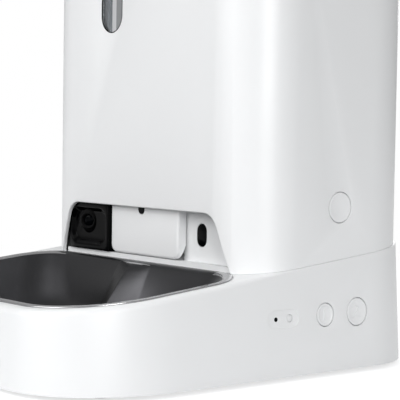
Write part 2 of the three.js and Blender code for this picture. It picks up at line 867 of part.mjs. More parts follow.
// Bottom cover with the battery bay, screw holes, speaker slots and board posts
function makeBottomCover() {
  const inset = wallThickness + coverFit;
  const plate = prism(outline(baseFoot, inset), coverLow, coverTop);
  const bay = block(
    -bayHalfWidth - bayWall,
    bayHalfWidth + bayWall,
    bayFrontY - bayWall,
    bayRearY + bayWall,
    coverLow,
    bayTop,
  );
  const bayInside = block(
    -bayHalfWidth, bayHalfWidth, bayFrontY, bayRearY, coverLow - cutOverrun, bayTop - bayWall,
  );
  const boardPosts = [-1, 1].map((side) =>
    rod(
      standoffRadius,
      side * mainBoardPostX,
      behind(mainBoardFrontY + mainBoardPostInset),
      coverTop - gap,
      mainBoardZ - gap,
      12,
    ),
  );
  const screwHoles = screwPlaces.map(([x, y]) =>
    turnedAt(
      [
        [0, coverLow - cutOverrun],
        [screwHeadRadius + gap, coverLow - cutOverrun],
        [screwHeadRadius + gap, coverLow + screwHeadLift + screwHeadHeight - gap],
        [screwShankRadius + gap, coverLow + screwHeadLift + screwHeadHeight - gap],
        [screwShankRadius + gap, coverTop + cutOverrun],
        [0, coverTop + cutOverrun],
      ],
      x,
      y,
      12,
    ),
  );
  const slots = Array.from({ length: slotCount }, (_, i) => {
    const x = speakerX + (i - (slotCount - 1) / 2) * slotPitch;
    return block(
      x - slotWidth / 2,
      x + slotWidth / 2,
      behind(speakerY) - slotLength / 2,
      behind(speakerY) + slotLength / 2,
      coverLow - cutOverrun,
      coverTop + cutOverrun,
    );
  });
  return cut(join(plate, bay, ...boardPosts), bayInside, ...screwHoles, ...slots);
}

const screwPlaces = [
  [frontPostX, -frontPostY],
  [-frontPostX, -frontPostY],
  [rearPostX, rearPostY],
  [-rearPostX, rearPostY],
];

function turnedAt(profile, x, y, sides = discSides) {
  return turned(profile, sides).translate([x, y, 0]);
}

function makeScrew() {
  return turned(
    [
      [0, 0],
      [screwHeadRadius, 0],
      [screwHeadRadius, screwHeadHeight - gap - gap],
      [screwShankRadius, screwHeadHeight - gap - gap],
      [screwShankRadius, screwLength],
      [0, screwLength],
    ],
    12,
  );
}

function makeFoot() {
  const top = coverLow - gap;
  return turned(
    [
      [0, 0],
      [footRadius - footEdge, 0],
      [footRadius, footEdge],
      [footRadius, top],
      [0, top],
    ],
    20,
  );
}

// Battery door, hinged along its front edge, and the cells behind it
const doorAxisY = bayFrontY + doorFit + doorAxisInset;
const doorAxisZ = coverLow + doorThickness / 2;

function makeBatteryDoor() {
  const plate = block(
    -bayHalfWidth + doorFit,
    bayHalfWidth - doorFit,
    bayFrontY + doorFit,
    bayRearY - doorFit,
    coverLow,
    coverLow + doorThickness,
  );
  const grip = block(
    -doorTabWidth / 2,
    doorTabWidth / 2,
    bayRearY - doorFit - doorTabLength,
    bayRearY - doorFit - doorTabLength / 2,
    coverLow - gap,
    coverLow + doorTabThickness,
  );
  return cut(plate, grip);
}

function makeCell() {
  return turned(
    [
      [0, 0],
      [cellRadius, 0],
      [cellRadius, cellLength],
      [cellNubRadius, cellLength],
      [cellNubRadius, cellLength + cellNubLength],
      [0, cellLength + cellNubLength],
    ],
    14,
  );
}

// Core housing: the recess's back wall, the sill, the flap's ears and the roof over the drives
function makeCoreHousing() {
  const shellRing = (inset, heightAt) => ring(outline(coreFoot, inset, 6), heightAt);
  const outer = loft([shellRing(0, overDeck(gap)), shellRing(0, level(coreTop))]);
  const inner = loft([
    shellRing(coreWall, overDeck(-cutOverrun)),
    shellRing(coreWall, level(coreTop - coreWall)),
  ]);
  const sillPoints = [
    new THREE.Vector2(-sillHalfWidth, behind(sillFront)),
    new THREE.Vector2(sillHalfWidth, behind(sillFront)),
    new THREE.Vector2(sillHalfWidth, behind(coreFront + coreWall / 2)),
    new THREE.Vector2(-sillHalfWidth, behind(coreFront + coreWall / 2)),
  ];
  const sill = loft([ring(sillPoints, overDeck(gap)), ring(sillPoints, level(sillTop))]);
  const ears = [-1, 1].map((side) => {
    const near = flapHalfWidth + gap;
    const far = near + earThickness;
    const shape = [
      new THREE.Vector2(behind(earFront), flapPivotZ - earHeight / 2),
      new THREE.Vector2(behind(coreFront + coreWall / 2), flapPivotZ - earHeight / 2),
      new THREE.Vector2(behind(coreFront + coreWall / 2), flapPivotZ + earHeight),
      new THREE.Vector2(behind(earFront), flapPivotZ + earHeight),
    ];
    return prismAlongX(shape, Math.min(side * near, side * far), Math.max(side * near, side * far));
  });
  const earBore = rodAlongX(
    flapPinRadius + gap,
    -flapHalfWidth - earThickness - gap - cutOverrun,
    flapHalfWidth + earThickness + gap + cutOverrun,
    behind(flapPivotY),
    flapPivotZ,
    12,
  );
  const posts = [-1, 1].flatMap((side) =>
    [corePostFront, corePostRear].map((y) =>
      rod(corePostRadius, side * corePostX, behind(y), frameLow + frameThickness + gap, coreTop - gap, 10),
    ),
  );
  const catches = [-1, 1].map((side) => {
    const near = side * (coreHalfWidth - coreWall / 2);
    const far = side * (coreHalfWidth + catchReach);
    return block(
      Math.min(near, far),
      Math.max(near, far),
      behind(releaseY) - catchWidth / 2,
      behind(releaseY) + catchWidth / 2,
      tongueLow - catchGap - catchHeight,
      tongueLow - catchGap,
    );
  });
  const wallFrontY = behind(coreFront) - cutOverrun;
  const wallBackY = behind(coreFront + coreWall) + cutOverrun;
  const outlet = block(-outletHalfWidth, outletHalfWidth, wallFrontY, wallBackY, sillTop, outletTop);
  const chuteMouth = block(
    -chuteHalfWidth - gap,
    chuteHalfWidth + gap,
    behind(chuteFront) - gap,
    behind(chuteRear) + gap,
    coreTop - coreWall - cutOverrun,
    coreTop + cutOverrun,
  );
  const pill = prismAlongY(pillOutline(gap), wallFrontY, wallBackY);
  const lensHole = rodAlongY(
    collarRadius + cutOverrun, wallFrontY, wallBackY, lensX - lensRadius, lensZ, shaftSides,
  );
  const shaftHoles = [-1, 1].map((side) =>
    rod(
      driveShaft + driveFit, side * rotorX, behind(rotorY),
      coreTop - coreWall - cutOverrun, coreTop + cutOverrun, shaftSides,
    ),
  );
  const body = join(cut(outer, inner), sill, ...ears, ...posts, ...catches);
  return cut(body, earBore, outlet, chuteMouth, pill, lensHole, ...shaftHoles);
}

function pillOutline(grow) {
  const halfWidth = pillWidth / 2 + grow;
  const halfHeight = pillHeight / 2 + grow;
  return roundedBox(
    pillX - halfWidth, pillX + halfWidth, pillZ - halfHeight, pillZ + halfHeight, halfWidth, 5,
  );
}

function makeSensorWindow() {
  const wallBack = behind(coreFront + coreWall) + gap;
  const pane = prismAlongY(pillOutline(0), behind(coreFront) - pillProud, wallBack);
  const flange = prismAlongY(pillOutline(pillFlange), wallBack, behind(coreFront + pillDepth) + gap);
  return join(pane, flange);
}

// Chute: a trough whose ramp leads from under the rotors to the sill
function makeChute() {
  const slope = chuteRise / (chuteRear - chuteWall - chuteFront);
  const side = [
    new THREE.Vector2(behind(chuteFront), chuteLow - chuteWall),
    new THREE.Vector2(behind(chuteRear), chuteLow + chuteRise - chuteWall),
    new THREE.Vector2(behind(chuteRear), chuteTop),
    new THREE.Vector2(behind(chuteFront), chuteTop),
  ];
  const room = [
    new THREE.Vector2(behind(chuteFront - cutOverrun), chuteLow - slope * cutOverrun),
    new THREE.Vector2(behind(chuteRear - chuteWall), chuteLow + chuteRise),
    new THREE.Vector2(behind(chuteRear - chuteWall), chuteTop + cutOverrun),
    new THREE.Vector2(behind(chuteFront - cutOverrun), chuteTop + cutOverrun),
  ];
  return cut(
    prismAlongX(side, -chuteHalfWidth, chuteHalfWidth),
    prismAlongX(room, -chuteHalfWidth + chuteWall, chuteHalfWidth - chuteWall),
  );
}

// Chute flap: a hood, open behind and below, that swings out on two stub pins
function makeFlap() {
  const plan = (inset) =>
    outline(
      footprint(-flapHalfWidth, flapHalfWidth, behind(flapFront), behind(flapBack), [
        [flapEdge, flapEdge],
        [gap, gap],
        [gap, gap],
        [flapEdge, flapEdge],
      ]),
      inset,
      3,
    );
  const outer = prism(plan(0), flapLow, flapHigh);
  const room = block(
    -flapHalfWidth + flapWall,
    flapHalfWidth - flapWall,
    behind(flapFront + flapWall),
    behind(flapBack) + cutOverrun,
    flapLow - cutOverrun,
    flapHigh - flapWall,
  );
  const front = prismAlongY(
    outline(
      footprint(-flapHalfWidth, flapHalfWidth, flapLow, flapHigh, [
        [flapCorner, flapCorner],
        [gap, gap],
        [gap, gap],
        [flapCorner, flapCorner],
      ]),
      0,
      4,
    ),
    behind(flapFront) - cutOverrun,
    behind(flapBack) + cutOverrun,
  );
  const scoop = prismAlongX(
    [
      new THREE.Vector2(behind(flapFront + flapWall), flapLow - cutOverrun),
      new THREE.Vector2(behind(flapBack) + cutOverrun, flapLow - cutOverrun),
      new THREE.Vector2(behind(flapBack) + cutOverrun, flapScoopHigh),
      new THREE.Vector2(behind(flapBack), flapScoopHigh),
    ],
    -flapHalfWidth - cutOverrun,
    flapHalfWidth + cutOverrun,
  );
  const pins = [-1, 1].map((side) =>
    rodAlongX(
      flapPinRadius,
      side > 0 ? flapHalfWidth - gap : -flapHalfWidth - flapPinReach,
      side > 0 ? flapHalfWidth + flapPinReach : -flapHalfWidth + gap,
      behind(flapPivotY),
      flapPivotZ,
      12,
    ),
  );
  const sensorSeat = rodAlongY(
    flapSensorRadius + gap,
    behind(flapFront) - cutOverrun,
    behind(flapFront + flapSensorDepth) + gap,
    flapSensorX,
    flapSensorZ,
    shaftSides,
  );
  return cut(join(cut(outer.intersect(front), room, scoop), ...pins), sensorSeat);
}

function makeFlapSensor() {
  return rodAlongY(
    flapSensorRadius,
    behind(flapFront) - pillProud,
    behind(flapFront + flapSensorDepth),
    flapSensorX,
    flapSensorZ,
    shaftSides,
  );
}

// Camera: a dished black bezel, and a barrel and lens that look in towards the bowl
const lensTurn = new THREE.Matrix4()
  .makeTranslation(lensX, behind(lensY), lensZ)
  .multiply(new THREE.Matrix4().makeRotationZ(lensYaw))
  .multiply(new THREE.Matrix4().makeRotationX(Math.PI / 2 + lensPitch));

const alongLens = (made) => solid(geometryOf(made).applyMatrix4(lensTurn));

function makeBezel() {
  const plan = [
    [bezelInner, bezelFront],
    [bezelInner, bezelBack],
    [bezelOuter, bezelBack],
    [bezelOuter, bezelOuterFront],
    [(bezelOuter + bezelFlat) / 2, (bezelFront * 2 + bezelOuterFront) / 3],
    [bezelFlat, bezelFront],
  ].map(([x, y]) => new THREE.Vector2(x, behind(y)));
  const body = prism(plan, bezelLow, bezelHigh);
  const mouth = roundedBox(
    bezelOuter + dishInsetOuter,
    bezelInner - dishInsetInner,
    bezelLow + dishInsetLow,
    bezelHigh - dishInsetHigh,
    dishCorner,
    4,
  );
  const pane = roundedBox(
    bezelOuter + paneInsetOuter,
    bezelInner - paneInsetInner,
    bezelLow + paneInsetLow,
    bezelHigh - paneInsetHigh,
    paneCorner,
    4,
  );
  const mouthShare = -cutOverrun / paneDepth;
  const upright = (points, y) => points.map((p) => new THREE.Vector3(p.x, -behind(y), p.y));
  const swap = (points) => points.map((p) => new THREE.Vector3(p.x, p.z, -p.y));
  const dish = loftUpright([
    swap(upright(mixPoints(mouth, pane, mouthShare), bezelFront - cutOverrun)),
    swap(upright(pane, bezelFront + paneDepth)),
  ]);
  const barrelHole = alongLens(
    turned(
      [
        [0, -barrelLength - cutOverrun],
        [barrelRadius + gap, -barrelLength - cutOverrun],
        [barrelRadius + gap, -collarSet - collarThickness - gap],
        [collarRadius + gap, -collarSet - collarThickness - gap],
        [collarRadius + gap, cutOverrun],
        [0, cutOverrun],
      ],
      20,
    ),
  );
  return cut(body, dish, barrelHole);
}

// A loft whose rings stand upright: (x, z) outlines at set places along Y
function loftUpright(rings) {
  const lying = loft(rings.map((one) => one.map((p) => new THREE.Vector3(p.x, p.y, p.z))));
  return solid(geometryOf(lying).rotateX(Math.PI / 2));
}

function makeBarrel() {
  return alongLens(
    turned(
      [
        [0, -barrelLength],
        [barrelRadius, -barrelLength],
        [barrelRadius, -collarSet - collarThickness],
        [collarRadius, -collarSet - collarThickness],
        [collarRadius, -collarSet],
        [barrelRadius, -collarSet / 2],
        [barrelRadius, 0],
        [barrelBore + gap, 0],
        [barrelBore, -barrelLip],
        [barrelBore, -barrelLip - lensThickness],
        [0, -barrelLip - lensThickness],
      ],
      20,
    ),
  );
}

function makeLens() {
  const top = -barrelLip;
  const low = top - lensThickness + gap;
  const crown = Array.from({ length: lensSteps + 1 }, (_, i) => {
    const share = 1 - i / lensSteps;
    return [lensRadius * share, top + lensCrown * (1 - share * share)];
  });
  return alongLens(turned([[0, low], [lensRadius, low], ...crown], 20));
}

// Feed buttons, indicator and microphone on the side of the base
function makeFeedButton(radius) {
  return turned([
    [0, -feedCap - feedFlangeThickness - feedStemLength],
    [feedStemRadius, -feedCap - feedFlangeThickness - feedStemLength],
    [feedStemRadius, -feedCap - feedFlangeThickness],
    [radius + feedFlange, -feedCap - feedFlangeThickness],
    [radius + feedFlange, -feedCap],
    [radius, -feedCap],
    [radius, -feedCapEdge],
    [radius - feedCapEdge, 0],
    [0, 0],
  ]);
}

function makeIndicator() {
  return turned(
    [
      [0, -indicatorDepth],
      [indicatorRadius, -indicatorDepth],
      [indicatorRadius, -dishSunk],
      [0, -dishSunk],
    ],
    shaftSides,
  );
}

function makeMicrophone() {
  const top = -wallThickness - gap;
  const low = top - microphoneDepth;
  return turned([[0, low], [microphoneRadius, low], [microphoneRadius, top], [0, top]], shaftSides);
}

function makeButtonBoard() {
  const face = boardX + boardThickness;
  const plate = block(
    boardX,
    face,
    behind(microphoneY - boardFrontMargin),
    behind(feedTwoY + boardRearMargin),
    controlHeight - boardHalfHeight,
    controlHeight + boardHalfHeight,
  );
  const switches = [feedOneY, feedTwoY].map((y) =>
    block(
      face - gap,
      face + switchHeight,
      behind(y) - switchSize / 2,
      behind(y) + switchSize / 2,
      controlHeight - switchSize / 2,
      controlHeight + switchSize / 2,
    ),
  );
  return join(plate, ...switches);
}

function makeMainBoard() {
  const top = mainBoardZ + boardThickness;
  const front = behind(mainBoardFrontY);
  const rear = behind(mainBoardRearY);
  const plate = block(-mainBoardHalfWidth, mainBoardHalfWidth, front, rear, mainBoardZ, top);
  const chips = [-1, 1].map((side) =>
    block(
      (side * mainBoardHalfWidth) / 2 - chipSize / 2,
      (side * mainBoardHalfWidth) / 2 + chipSize / 2,
      (front + rear) / 2 - chipSize / 2,
      (front + rear) / 2 + chipSize / 2,
      top - gap,
      top + chipHeight,
    ),
  );
  return join(plate, ...chips);
}

function makeSpeaker() {
  const low = coverTop + gap;
  return turnedAt(
    [
      [0, low],
      [speakerRadius, low],
      [speakerRadius, low + speakerRim],
      [speakerMagnet, low + speakerHeight - speakerRim],
      [speakerMagnet, low + speakerHeight],
      [0, low + speakerHeight],
    ],
    speakerX,
    behind(speakerY),
    20,
  );
}

function makeInlet() {
  const rear = baseLength / 2 - flareAt(inletZ + inletHeight);
  const cup = block(
    inletX - inletWidth / 2,
    inletX + inletWidth / 2,
    rear - inletDepth,
    rear,
    inletZ - inletHeight / 2,
    inletZ + inletHeight / 2,
  );
  const room = block(
    inletX - inletWidth / 2 + inletWall,
    inletX + inletWidth / 2 - inletWall,
    rear - inletDepth + inletFloor,
    rear + cutOverrun,
    inletZ - inletHeight / 2 + inletWall,
    inletZ + inletHeight / 2 - inletWall,
  );
  return cut(cup, room);
}

// Drives: gear motors, pinions, and gears whose shafts end in hexagonal dogs
const gearRadius = (gearModule * gearTeeth) / 2;
const pinionRadius = (gearModule * pinionTeeth) / 2;
const motorOffsetX = (gearRadius + pinionRadius) * Math.cos(motorAngle);
const motorOffsetY = (gearRadius + pinionRadius) * Math.sin(motorAngle);
const gearHigh = gearLow + gearThickness;

// Trapezoid teeth; the first tooth, or the first gap, points along startAngle
function gearOutline(teeth, startAngle, gapFirst) {
  const pitch = (gearModule * teeth) / 2;
  const tip = pitch + gearModule * toothHeightShare;
  const root = pitch - gearModule * toothRootShare;
  const step = (2 * Math.PI) / teeth;
  const half = step / 4 - toothSlack / 2 / pitch;
  const tipHalf = half - gearModule / 3 / tip;
  const rootHalf = half + gearModule / 3 / root;
  const points = [];
  for (let i = 0; i < teeth; i += 1) {
    const middle = startAngle + (i + (gapFirst ? 0.5 : 0)) * step;
    [
      [root, middle - rootHalf],
      [tip, middle - tipHalf],
      [tip, middle + tipHalf],
      [root, middle + rootHalf],
    ].forEach(([radius, angle]) =>
      points.push(new THREE.Vector2(radius * Math.cos(angle), radius * Math.sin(angle))),
    );
  }
  return points;
}

function makeDriveGear(side) {
  const towardsPinion = side > 0 ? motorAngle : Math.PI - motorAngle;
  const wheel = prism(gearOutline(gearTeeth, towardsPinion, false), gearLow, gearHigh);
  const journal = rod(driveJournal, 0, 0, frameLow, gearLow + gap, shaftSides);
  const shaft = rod(driveShaft, 0, 0, gearHigh - gap, coreTop + cutOverrun, shaftSides);
  const dog = rod(dogRadius, 0, 0, coreTop, dogTop, 6);
  return join(wheel, journal, shaft, dog);
}

const dogRadius = dogAcross / Math.sqrt(3);

function makePinion(side) {
  const towardsGear = side > 0 ? motorAngle + Math.PI : -motorAngle;
  const wheel = prism(gearOutline(pinionTeeth, towardsGear, true), gearLow, gearHigh);
  const stub = rod(pinionStubRadius, 0, 0, frameLow + gap, gearLow + gap, 12);
  return join(wheel, stub);
}

function makeMotor() {
  const top = frameLow - gap;
  return turned(
    [
      [0, top - motorHeight],
      [motorRadius, top - motorHeight],
      [motorRadius, top],
      [0, top],
    ],
    20,
  );
}

function makeDriveFrame() {
  const plate = prism(
    roundedBox(-frameHalfWidth, frameHalfWidth, behind(frameFront), behind(frameRear), frameCorner, 3),
    frameLow,
    frameHigh,
  );
  const holes = [-1, 1].flatMap((side) => [
    rod(
      driveJournal + driveFit, side * rotorX, behind(rotorY),
      frameLow - cutOverrun, frameHigh + cutOverrun, shaftSides,
    ),
    rod(
      motorBossRadius,
      side * (rotorX + motorOffsetX),
      behind(rotorY + motorOffsetY),
      frameLow - cutOverrun,
      frameHigh + cutOverrun,
      shaftSides,
    ),
  ]);
  const chuteCut = block(
    -chuteHalfWidth - motorBossHeight,
    chuteHalfWidth + motorBossHeight,
    behind(frameFront) - cutOverrun,
    behind(frameFront),
    frameLow - cutOverrun,
    frameHigh + cutOverrun,
  );
  return cut(plate, chuteCut, ...holes);
}

// Tower shell with its front opening, level window slot and release button holes
const slantHalf = (z) => openingTopHalfWidth + openingSlantShare * (openingTop - openingCornerDrop - z);

function openingOutline() {
  const low = deckHeight - deckThickness - cutOverrun;
  const cornerX = openingTopHalfWidth - openingTopCorner;
  const cornerZ = openingTop - openingCornerDrop;
  const curve = new THREE.QuadraticBezierCurve(
    new THREE.Vector2(openingTopHalfWidth, cornerZ),
    new THREE.Vector2(slantHalf(openingTop - gap), openingTop),
    new THREE.Vector2(cornerX, openingTop),
  );
  const right = [new THREE.Vector2(slantHalf(low), low), ...curve.getPoints(5)];
  const left = right.map((p) => new THREE.Vector2(-p.x, p.y)).reverse();
  return [...right, ...left];
}

function windowOutline(grow) {
  const half = windowWidth / 2 + grow;
  return roundedBox(windowCentreX - half, windowCentreX + half, windowLow - grow, windowHigh + grow, half, 6);
}

function makeTowerShell() {
  const outer = loft([
    ring(outline(towerFoot), overDeck(seamGap)),
    ring(outline(towerFoot), level(shellTop)),
  ]);
  const inner = loft([
    ring(outline(towerFoot, towerWall), overDeck(-cutOverrun)),
    ring(outline(towerFoot, towerWall), level(shellTop + cutOverrun)),
  ]);
  const frontY = faceY - cutOverrun;
  const opening = prismAlongY(openingOutline(), frontY, behind(coreFront));
  const windowHole = prismAlongY(windowOutline(0), frontY, behind(towerWall) + cutOverrun);
  const buttonHole = rodAlongX(
    releaseRadius + releaseFit,
    -towerHalf - cutOverrun,
    towerHalf + cutOverrun,
    behind(releaseY),
    releaseZ,
  );
  return cut(outer, inner, opening, windowHole, buttonHole);
}

function makeLevelWindow() {
  const pane = prismAlongY(windowOutline(-gap), faceY + gap, behind(towerWall) + gap);
  const flange = prismAlongY(
    windowOutline(windowFlange), behind(towerWall) + gap, behind(hopperFrontY) - gap,
  );
  return join(pane, flange);
}

// Release buttons: a round cap and a tongue that reaches down to the catch
function makeReleaseButton() {
  const face = towerHalf;
  const inside = towerHalf - towerWall - gap;
  const back = inside - releaseFlangeThickness;
  const profile = [
    [0, back],
    [releaseRadius + releaseFlange, back],
    [releaseRadius + releaseFlange, inside],
    [releaseRadius, inside],
    [releaseRadius, face - releaseEdge],
    [releaseRadius - releaseEdge, face],
    [0, face],
  ];
  const cap = solid(
    geometryOf(turned(profile)).rotateY(Math.PI / 2).translate(0, behind(releaseY), releaseZ),
  );
  const tongue = block(
    back - tongueThickness + gap,
    back + gap,
    behind(releaseY) - tongueWidth / 2,
    behind(releaseY) + tongueWidth / 2,
    tongueLow,
    releaseZ,
  );
  return join(cap, tongue);
}

// Drum plate: two round cups with an outlet and a shaft hole in each floor
function makeDrumPlate() {
  const plateTop = drumLow + drumPlate;
  const plate = prism(outline(towerFoot, towerWall + gap), drumLow, plateTop);
  const places = [-1, 1];
  const cups = places.map((side) =>
    rod(drumRadius + drumWall, side * rotorX, behind(rotorY), drumLow, drumTop),
  );
  const rooms = places.map((side) =>
    rod(drumRadius, side * rotorX, behind(rotorY), plateTop, drumTop + cutOverrun),
  );
  const shafts = places.map((side) =>
    rod(drumShaftHole, side * rotorX, behind(rotorY), drumLow - cutOverrun, drumTop, shaftSides),
  );
  const outlets = places.map((side) => {
    const reach = drumRadius - drumOutletRim;
    const ends = [side * (rotorX - reach), side * (rotorX - drumOutletNearX)];
    const shape = roundedBox(
      Math.min(...ends),
      Math.max(...ends),
      behind(rotorY - reach),
      behind(rotorY - drumOutletNearY),
      drumOutletCorner,
      3,
    );
    return prism(shape, drumLow - cutOverrun, plateTop + cutOverrun);
  });
  const notches = places.map((side) => {
    const near = side * (towerHalf - towerWall - notchDepth);
    const far = side * towerHalf;
    return block(
      Math.min(near, far),
      Math.max(near, far),
      behind(releaseY) - notchHalfWidth,
      behind(releaseY) + notchHalfWidth,
      drumLow - cutOverrun,
      plateTop + cutOverrun,
    );
  });
  return cut(join(plate, ...cups), ...rooms, ...shafts, ...outlets, ...notches);
}

function makeRotor() {
  const low = drumLow + drumPlate + rotorClearance;
  const reach = drumRadius - rotorClearance;
  const hub = rod(rotorHub, 0, 0, low, rotorTop, shaftSides);
  const vanes = Array.from({ length: rotorVanes / 2 }, (_, i) =>
    block(-reach, reach, -vaneThickness / 2, vaneThickness / 2, low, rotorTop - hubRoof / 2).rotate([
      0,
      0,
      (i * 360) / rotorVanes,
    ]),
  );
  const socket = rod(dogRadius + driveFit, 0, 0, low - cutOverrun, rotorTop - hubRoof, 6);
  return cut(join(hub, ...vanes), socket);
}

function makeBaffle(side) {
  const turnAngle = side > 0 ? baffleAngle : Math.PI - baffleAngle;
  const reach = drumRadius + drumWall - gap;
  const arc = (radius, from, to) =>
    Array.from({ length: baffleSteps + 1 }, (_, i) => {
      const angle = turnAngle + from + ((to - from) * i) / baffleSteps;
      return new THREE.Vector2(radius * Math.cos(angle), radius * Math.sin(angle));
    });
  const points = [
    ...arc(reach, -baffleHalfAngle, baffleHalfAngle),
    ...arc(baffleInner, baffleHalfAngle, -baffleHalfAngle),
  ];
  return prism(points, drumTop + gap, drumTop + gap + baffleThickness);
}

// Hoppers: open funnels from a rounded box down to the drum
function hopperFoot(side) {
  const outerX = towerHalf - towerWall - hopperSideFit;
  const radii = [
    [hopperOuterFront, hopperOuterFront],
    [hopperOuterRear, hopperOuterRear],
    [hopperInnerCorner, hopperInnerCorner],
    [hopperInnerCorner, hopperInnerCorner],
  ];
  const inner = windowCentreX + side * hopperSplit;
  return side > 0
    ? footprint(inner, outerX, behind(hopperFrontY), behind(hopperRearY), radii)
    : footprint(-outerX, inner, behind(hopperFrontY), behind(hopperRearY), radii.slice(0, 4).reverse());
}

function drumFoot(side) {
  const radius = drumRadius + drumWall;
  const x = side * rotorX;
  const y = behind(rotorY);
  return footprint(x - radius, x + radius, y - radius, y + radius, evenRadii(radius - drumFlat));
}

function makeHopper(side) {
  const top = hopperFoot(side);
  const low = drumFoot(side);
  const at = (foot, inset, z) => ring(outline(foot, inset, hopperSteps), level(z));
  return loft(
    [
      at(low, 0, hopperLow),
      at(top, 0, hopperShoulder),
      at(top, 0, frameTop),
      at(top, hopperWall, frameTop),
      at(top, hopperWall, hopperShoulder),
      at(low, hopperWall, hopperLow),
    ],
    true,
  );
}

// Top frame and lid share one rounded cap shape and one hinge axis
const hingeAxisY = behind(hingeY);
const hingeAxisZ = overallHeight - hingeDrop;

function capSolid(low, inset, top, edge) {
  const edgeShares = [0, 0.33, 0.67, 1];
  const rings = edgeShares.map((share) => {
    const angle = (share * Math.PI) / 2;
    return ring(
      outline(towerFoot, inset + edge * (1 - Math.cos(angle))),
      level(top - edge * (1 - Math.sin(angle))),
    );
  });
  return loft([ring(outline(towerFoot, inset), level(low)), ...rings]);
}

const hingeRod = (radius, half, sides = discSides) =>
  rodAlongX(radius, -half, half, hingeAxisY, hingeAxisZ, sides);

function makeTopFrame() {
  const cap = capSolid(shellTop + gap, 0, overallHeight, topEdge);
  const aboveFrame = block(
    -towerHalf - cutOverrun,
    towerHalf + cutOverrun,
    faceY - cutOverrun,
    hingeAxisY - hingeDrop,
    frameTop,
    overallHeight + cutOverrun,
  );
  const earOutside = earHalf - lidBarrelHalf - hingeGap;
  const overEars = [-1, 1].map((side) => {
    const near = side * (lidBarrelHalf + hingeGap + earOutside);
    const far = side * (towerHalf + cutOverrun);
    return block(
      Math.min(near, far),
      Math.max(near, far),
      hingeAxisY - hingeDrop - cutOverrun,
      hingeAxisY + hingeDrop,
      frameTop,
      overallHeight + cutOverrun,
    );
  });
  const aboveAxis = block(
    -towerHalf - cutOverrun,
    towerHalf + cutOverrun,
    hingeAxisY - hingeDrop - cutOverrun,
    hingeAxisY + hingeDrop + hingeFit,
    hingeAxisZ,
    overallHeight + cutOverrun,
  );
  const barrelRoom = join(
    hingeRod(hingeDrop + hingeFit, lidBarrelHalf + hingeGap),
    block(
      -lidBarrelHalf - hingeGap,
      lidBarrelHalf + hingeGap,
      hingeAxisY - hingeDrop - cutOverrun,
      hingeAxisY + hingeFit,
      frameTop,
      overallHeight,
    ),
  );
  const ears = [-1, 1].map((side) => {
    const near = side * (lidBarrelHalf + hingeGap);
    const far = side * earHalf;
    return rodAlongX(hingeDrop, Math.min(near, far), Math.max(near, far), hingeAxisY, hingeAxisZ);
  });
  const wells = [-1, 1].map((side) =>
    prism(outline(hopperFoot(side), -gap, hopperSteps), shellTop - cutOverrun, frameTop + cutOverrun),
  );
  const body = cut(cap, aboveFrame, aboveAxis, ...overEars, barrelRoom);
  return cut(join(body, ...ears), ...wells, hingeRod(pinRadius + pinFit, earHalf + cutOverrun, shaftSides));
}

function makeLid() {
  const low = frameTop + lidGap;
  const cap = capSolid(low, 0, overallHeight, topEdge);
  const room = capSolid(low - cutOverrun, lidWall, overallHeight - lidWall, topEdge - lidWall);
  const keepFront = block(
    -towerHalf - cutOverrun,
    towerHalf + cutOverrun,
    faceY - cutOverrun,
    behind(lidRearY),
    low - cutOverrun,
    overallHeight + cutOverrun,
  );
  const roomFront = block(
    -towerHalf,
    towerHalf,
    faceY,
    behind(lidRearY) - lidWall,
    low - cutOverrun,
    overallHeight,
  );
  const bridge = block(
    -lidBarrelHalf,
    lidBarrelHalf,
    behind(lidRearY) - lidWall,
    hingeAxisY,
    overallHeight - lidWall,
    overallHeight,
  );
  const shellPart = cut(cap.intersect(keepFront), room.intersect(roomFront));
  const pinBore = hingeRod(pinRadius + pinFit, lidBarrelHalf + cutOverrun, shaftSides);
  const latchHole = block(
    -latchHalfWidth - latchFit,
    latchHalfWidth + latchFit,
    faceY - cutOverrun,
    behind(lidWall) + cutOverrun,
    latchLow - latchFit,
    latchHigh + latchFit,
  );
  return cut(join(shellPart, bridge, hingeRod(hingeDrop, lidBarrelHalf)), pinBore, latchHole);
}

function makeHingePin() {
  return hingeRod(pinRadius, earHalf, 12);
}

function makeLidLiner() {
  const plate = prism(outline(towerFoot, lidWall + linerFit), linerLow, linerLow + linerThickness);
  const keep = block(
    -towerHalf,
    towerHalf,
    behind(lidWall + gap + latchFlangeThickness + latchTravel) + linerFit,
    behind(lidRearY) - lidWall - linerFit,
    linerLow - cutOverrun,
    overallHeight,
  );
  const hole = rod(
    dryRadius + gap, windowCentreX, behind(dryY),
    linerLow - cutOverrun, linerLow + linerThickness + cutOverrun,
  );
  return cut(plate.intersect(keep), hole);
}

function makeLidSeal(side) {
  const foot = hopperFoot(side);
  const at = (inset, z) => ring(outline(foot, inset, hopperSteps), level(z));
  const low = frameTop + gap;
  return loft(
    [at(gap, low), at(gap, low + sealHeight), at(sealWidth, low + sealHeight), at(sealWidth, low)],
    true,
  );
}

function makeDesiccantBox() {
  const low = linerLow;
  const box = rod(dryRadius, windowCentreX, behind(dryY), low, low + dryHeight);
  const room = rod(
    dryRadius - dryWall, windowCentreX, behind(dryY), low + dryWall, low + dryHeight + cutOverrun,
  );
  const coinSlot = block(
    windowCentreX - drySlotLength / 2,
    windowCentreX + drySlotLength / 2,
    behind(dryY) - drySlotWidth / 2,
    behind(dryY) + drySlotWidth / 2,
    low - cutOverrun,
    low + drySlotDepth,
  );
  return cut(box, room, coinSlot);
}

function makeLidLatch() {
  const cap = block(-latchHalfWidth, latchHalfWidth, faceY, behind(lidWall) + gap + gap, latchLow, latchHigh);
  const flange = block(
    -latchHalfWidth - latchFlange,
    latchHalfWidth + latchFlange,
    behind(lidWall) + gap,
    behind(lidWall) + gap + latchFlangeThickness,
    latchLow - latchFit,
    latchHigh + latchFit,
  );
  return join(cap, flange);
}

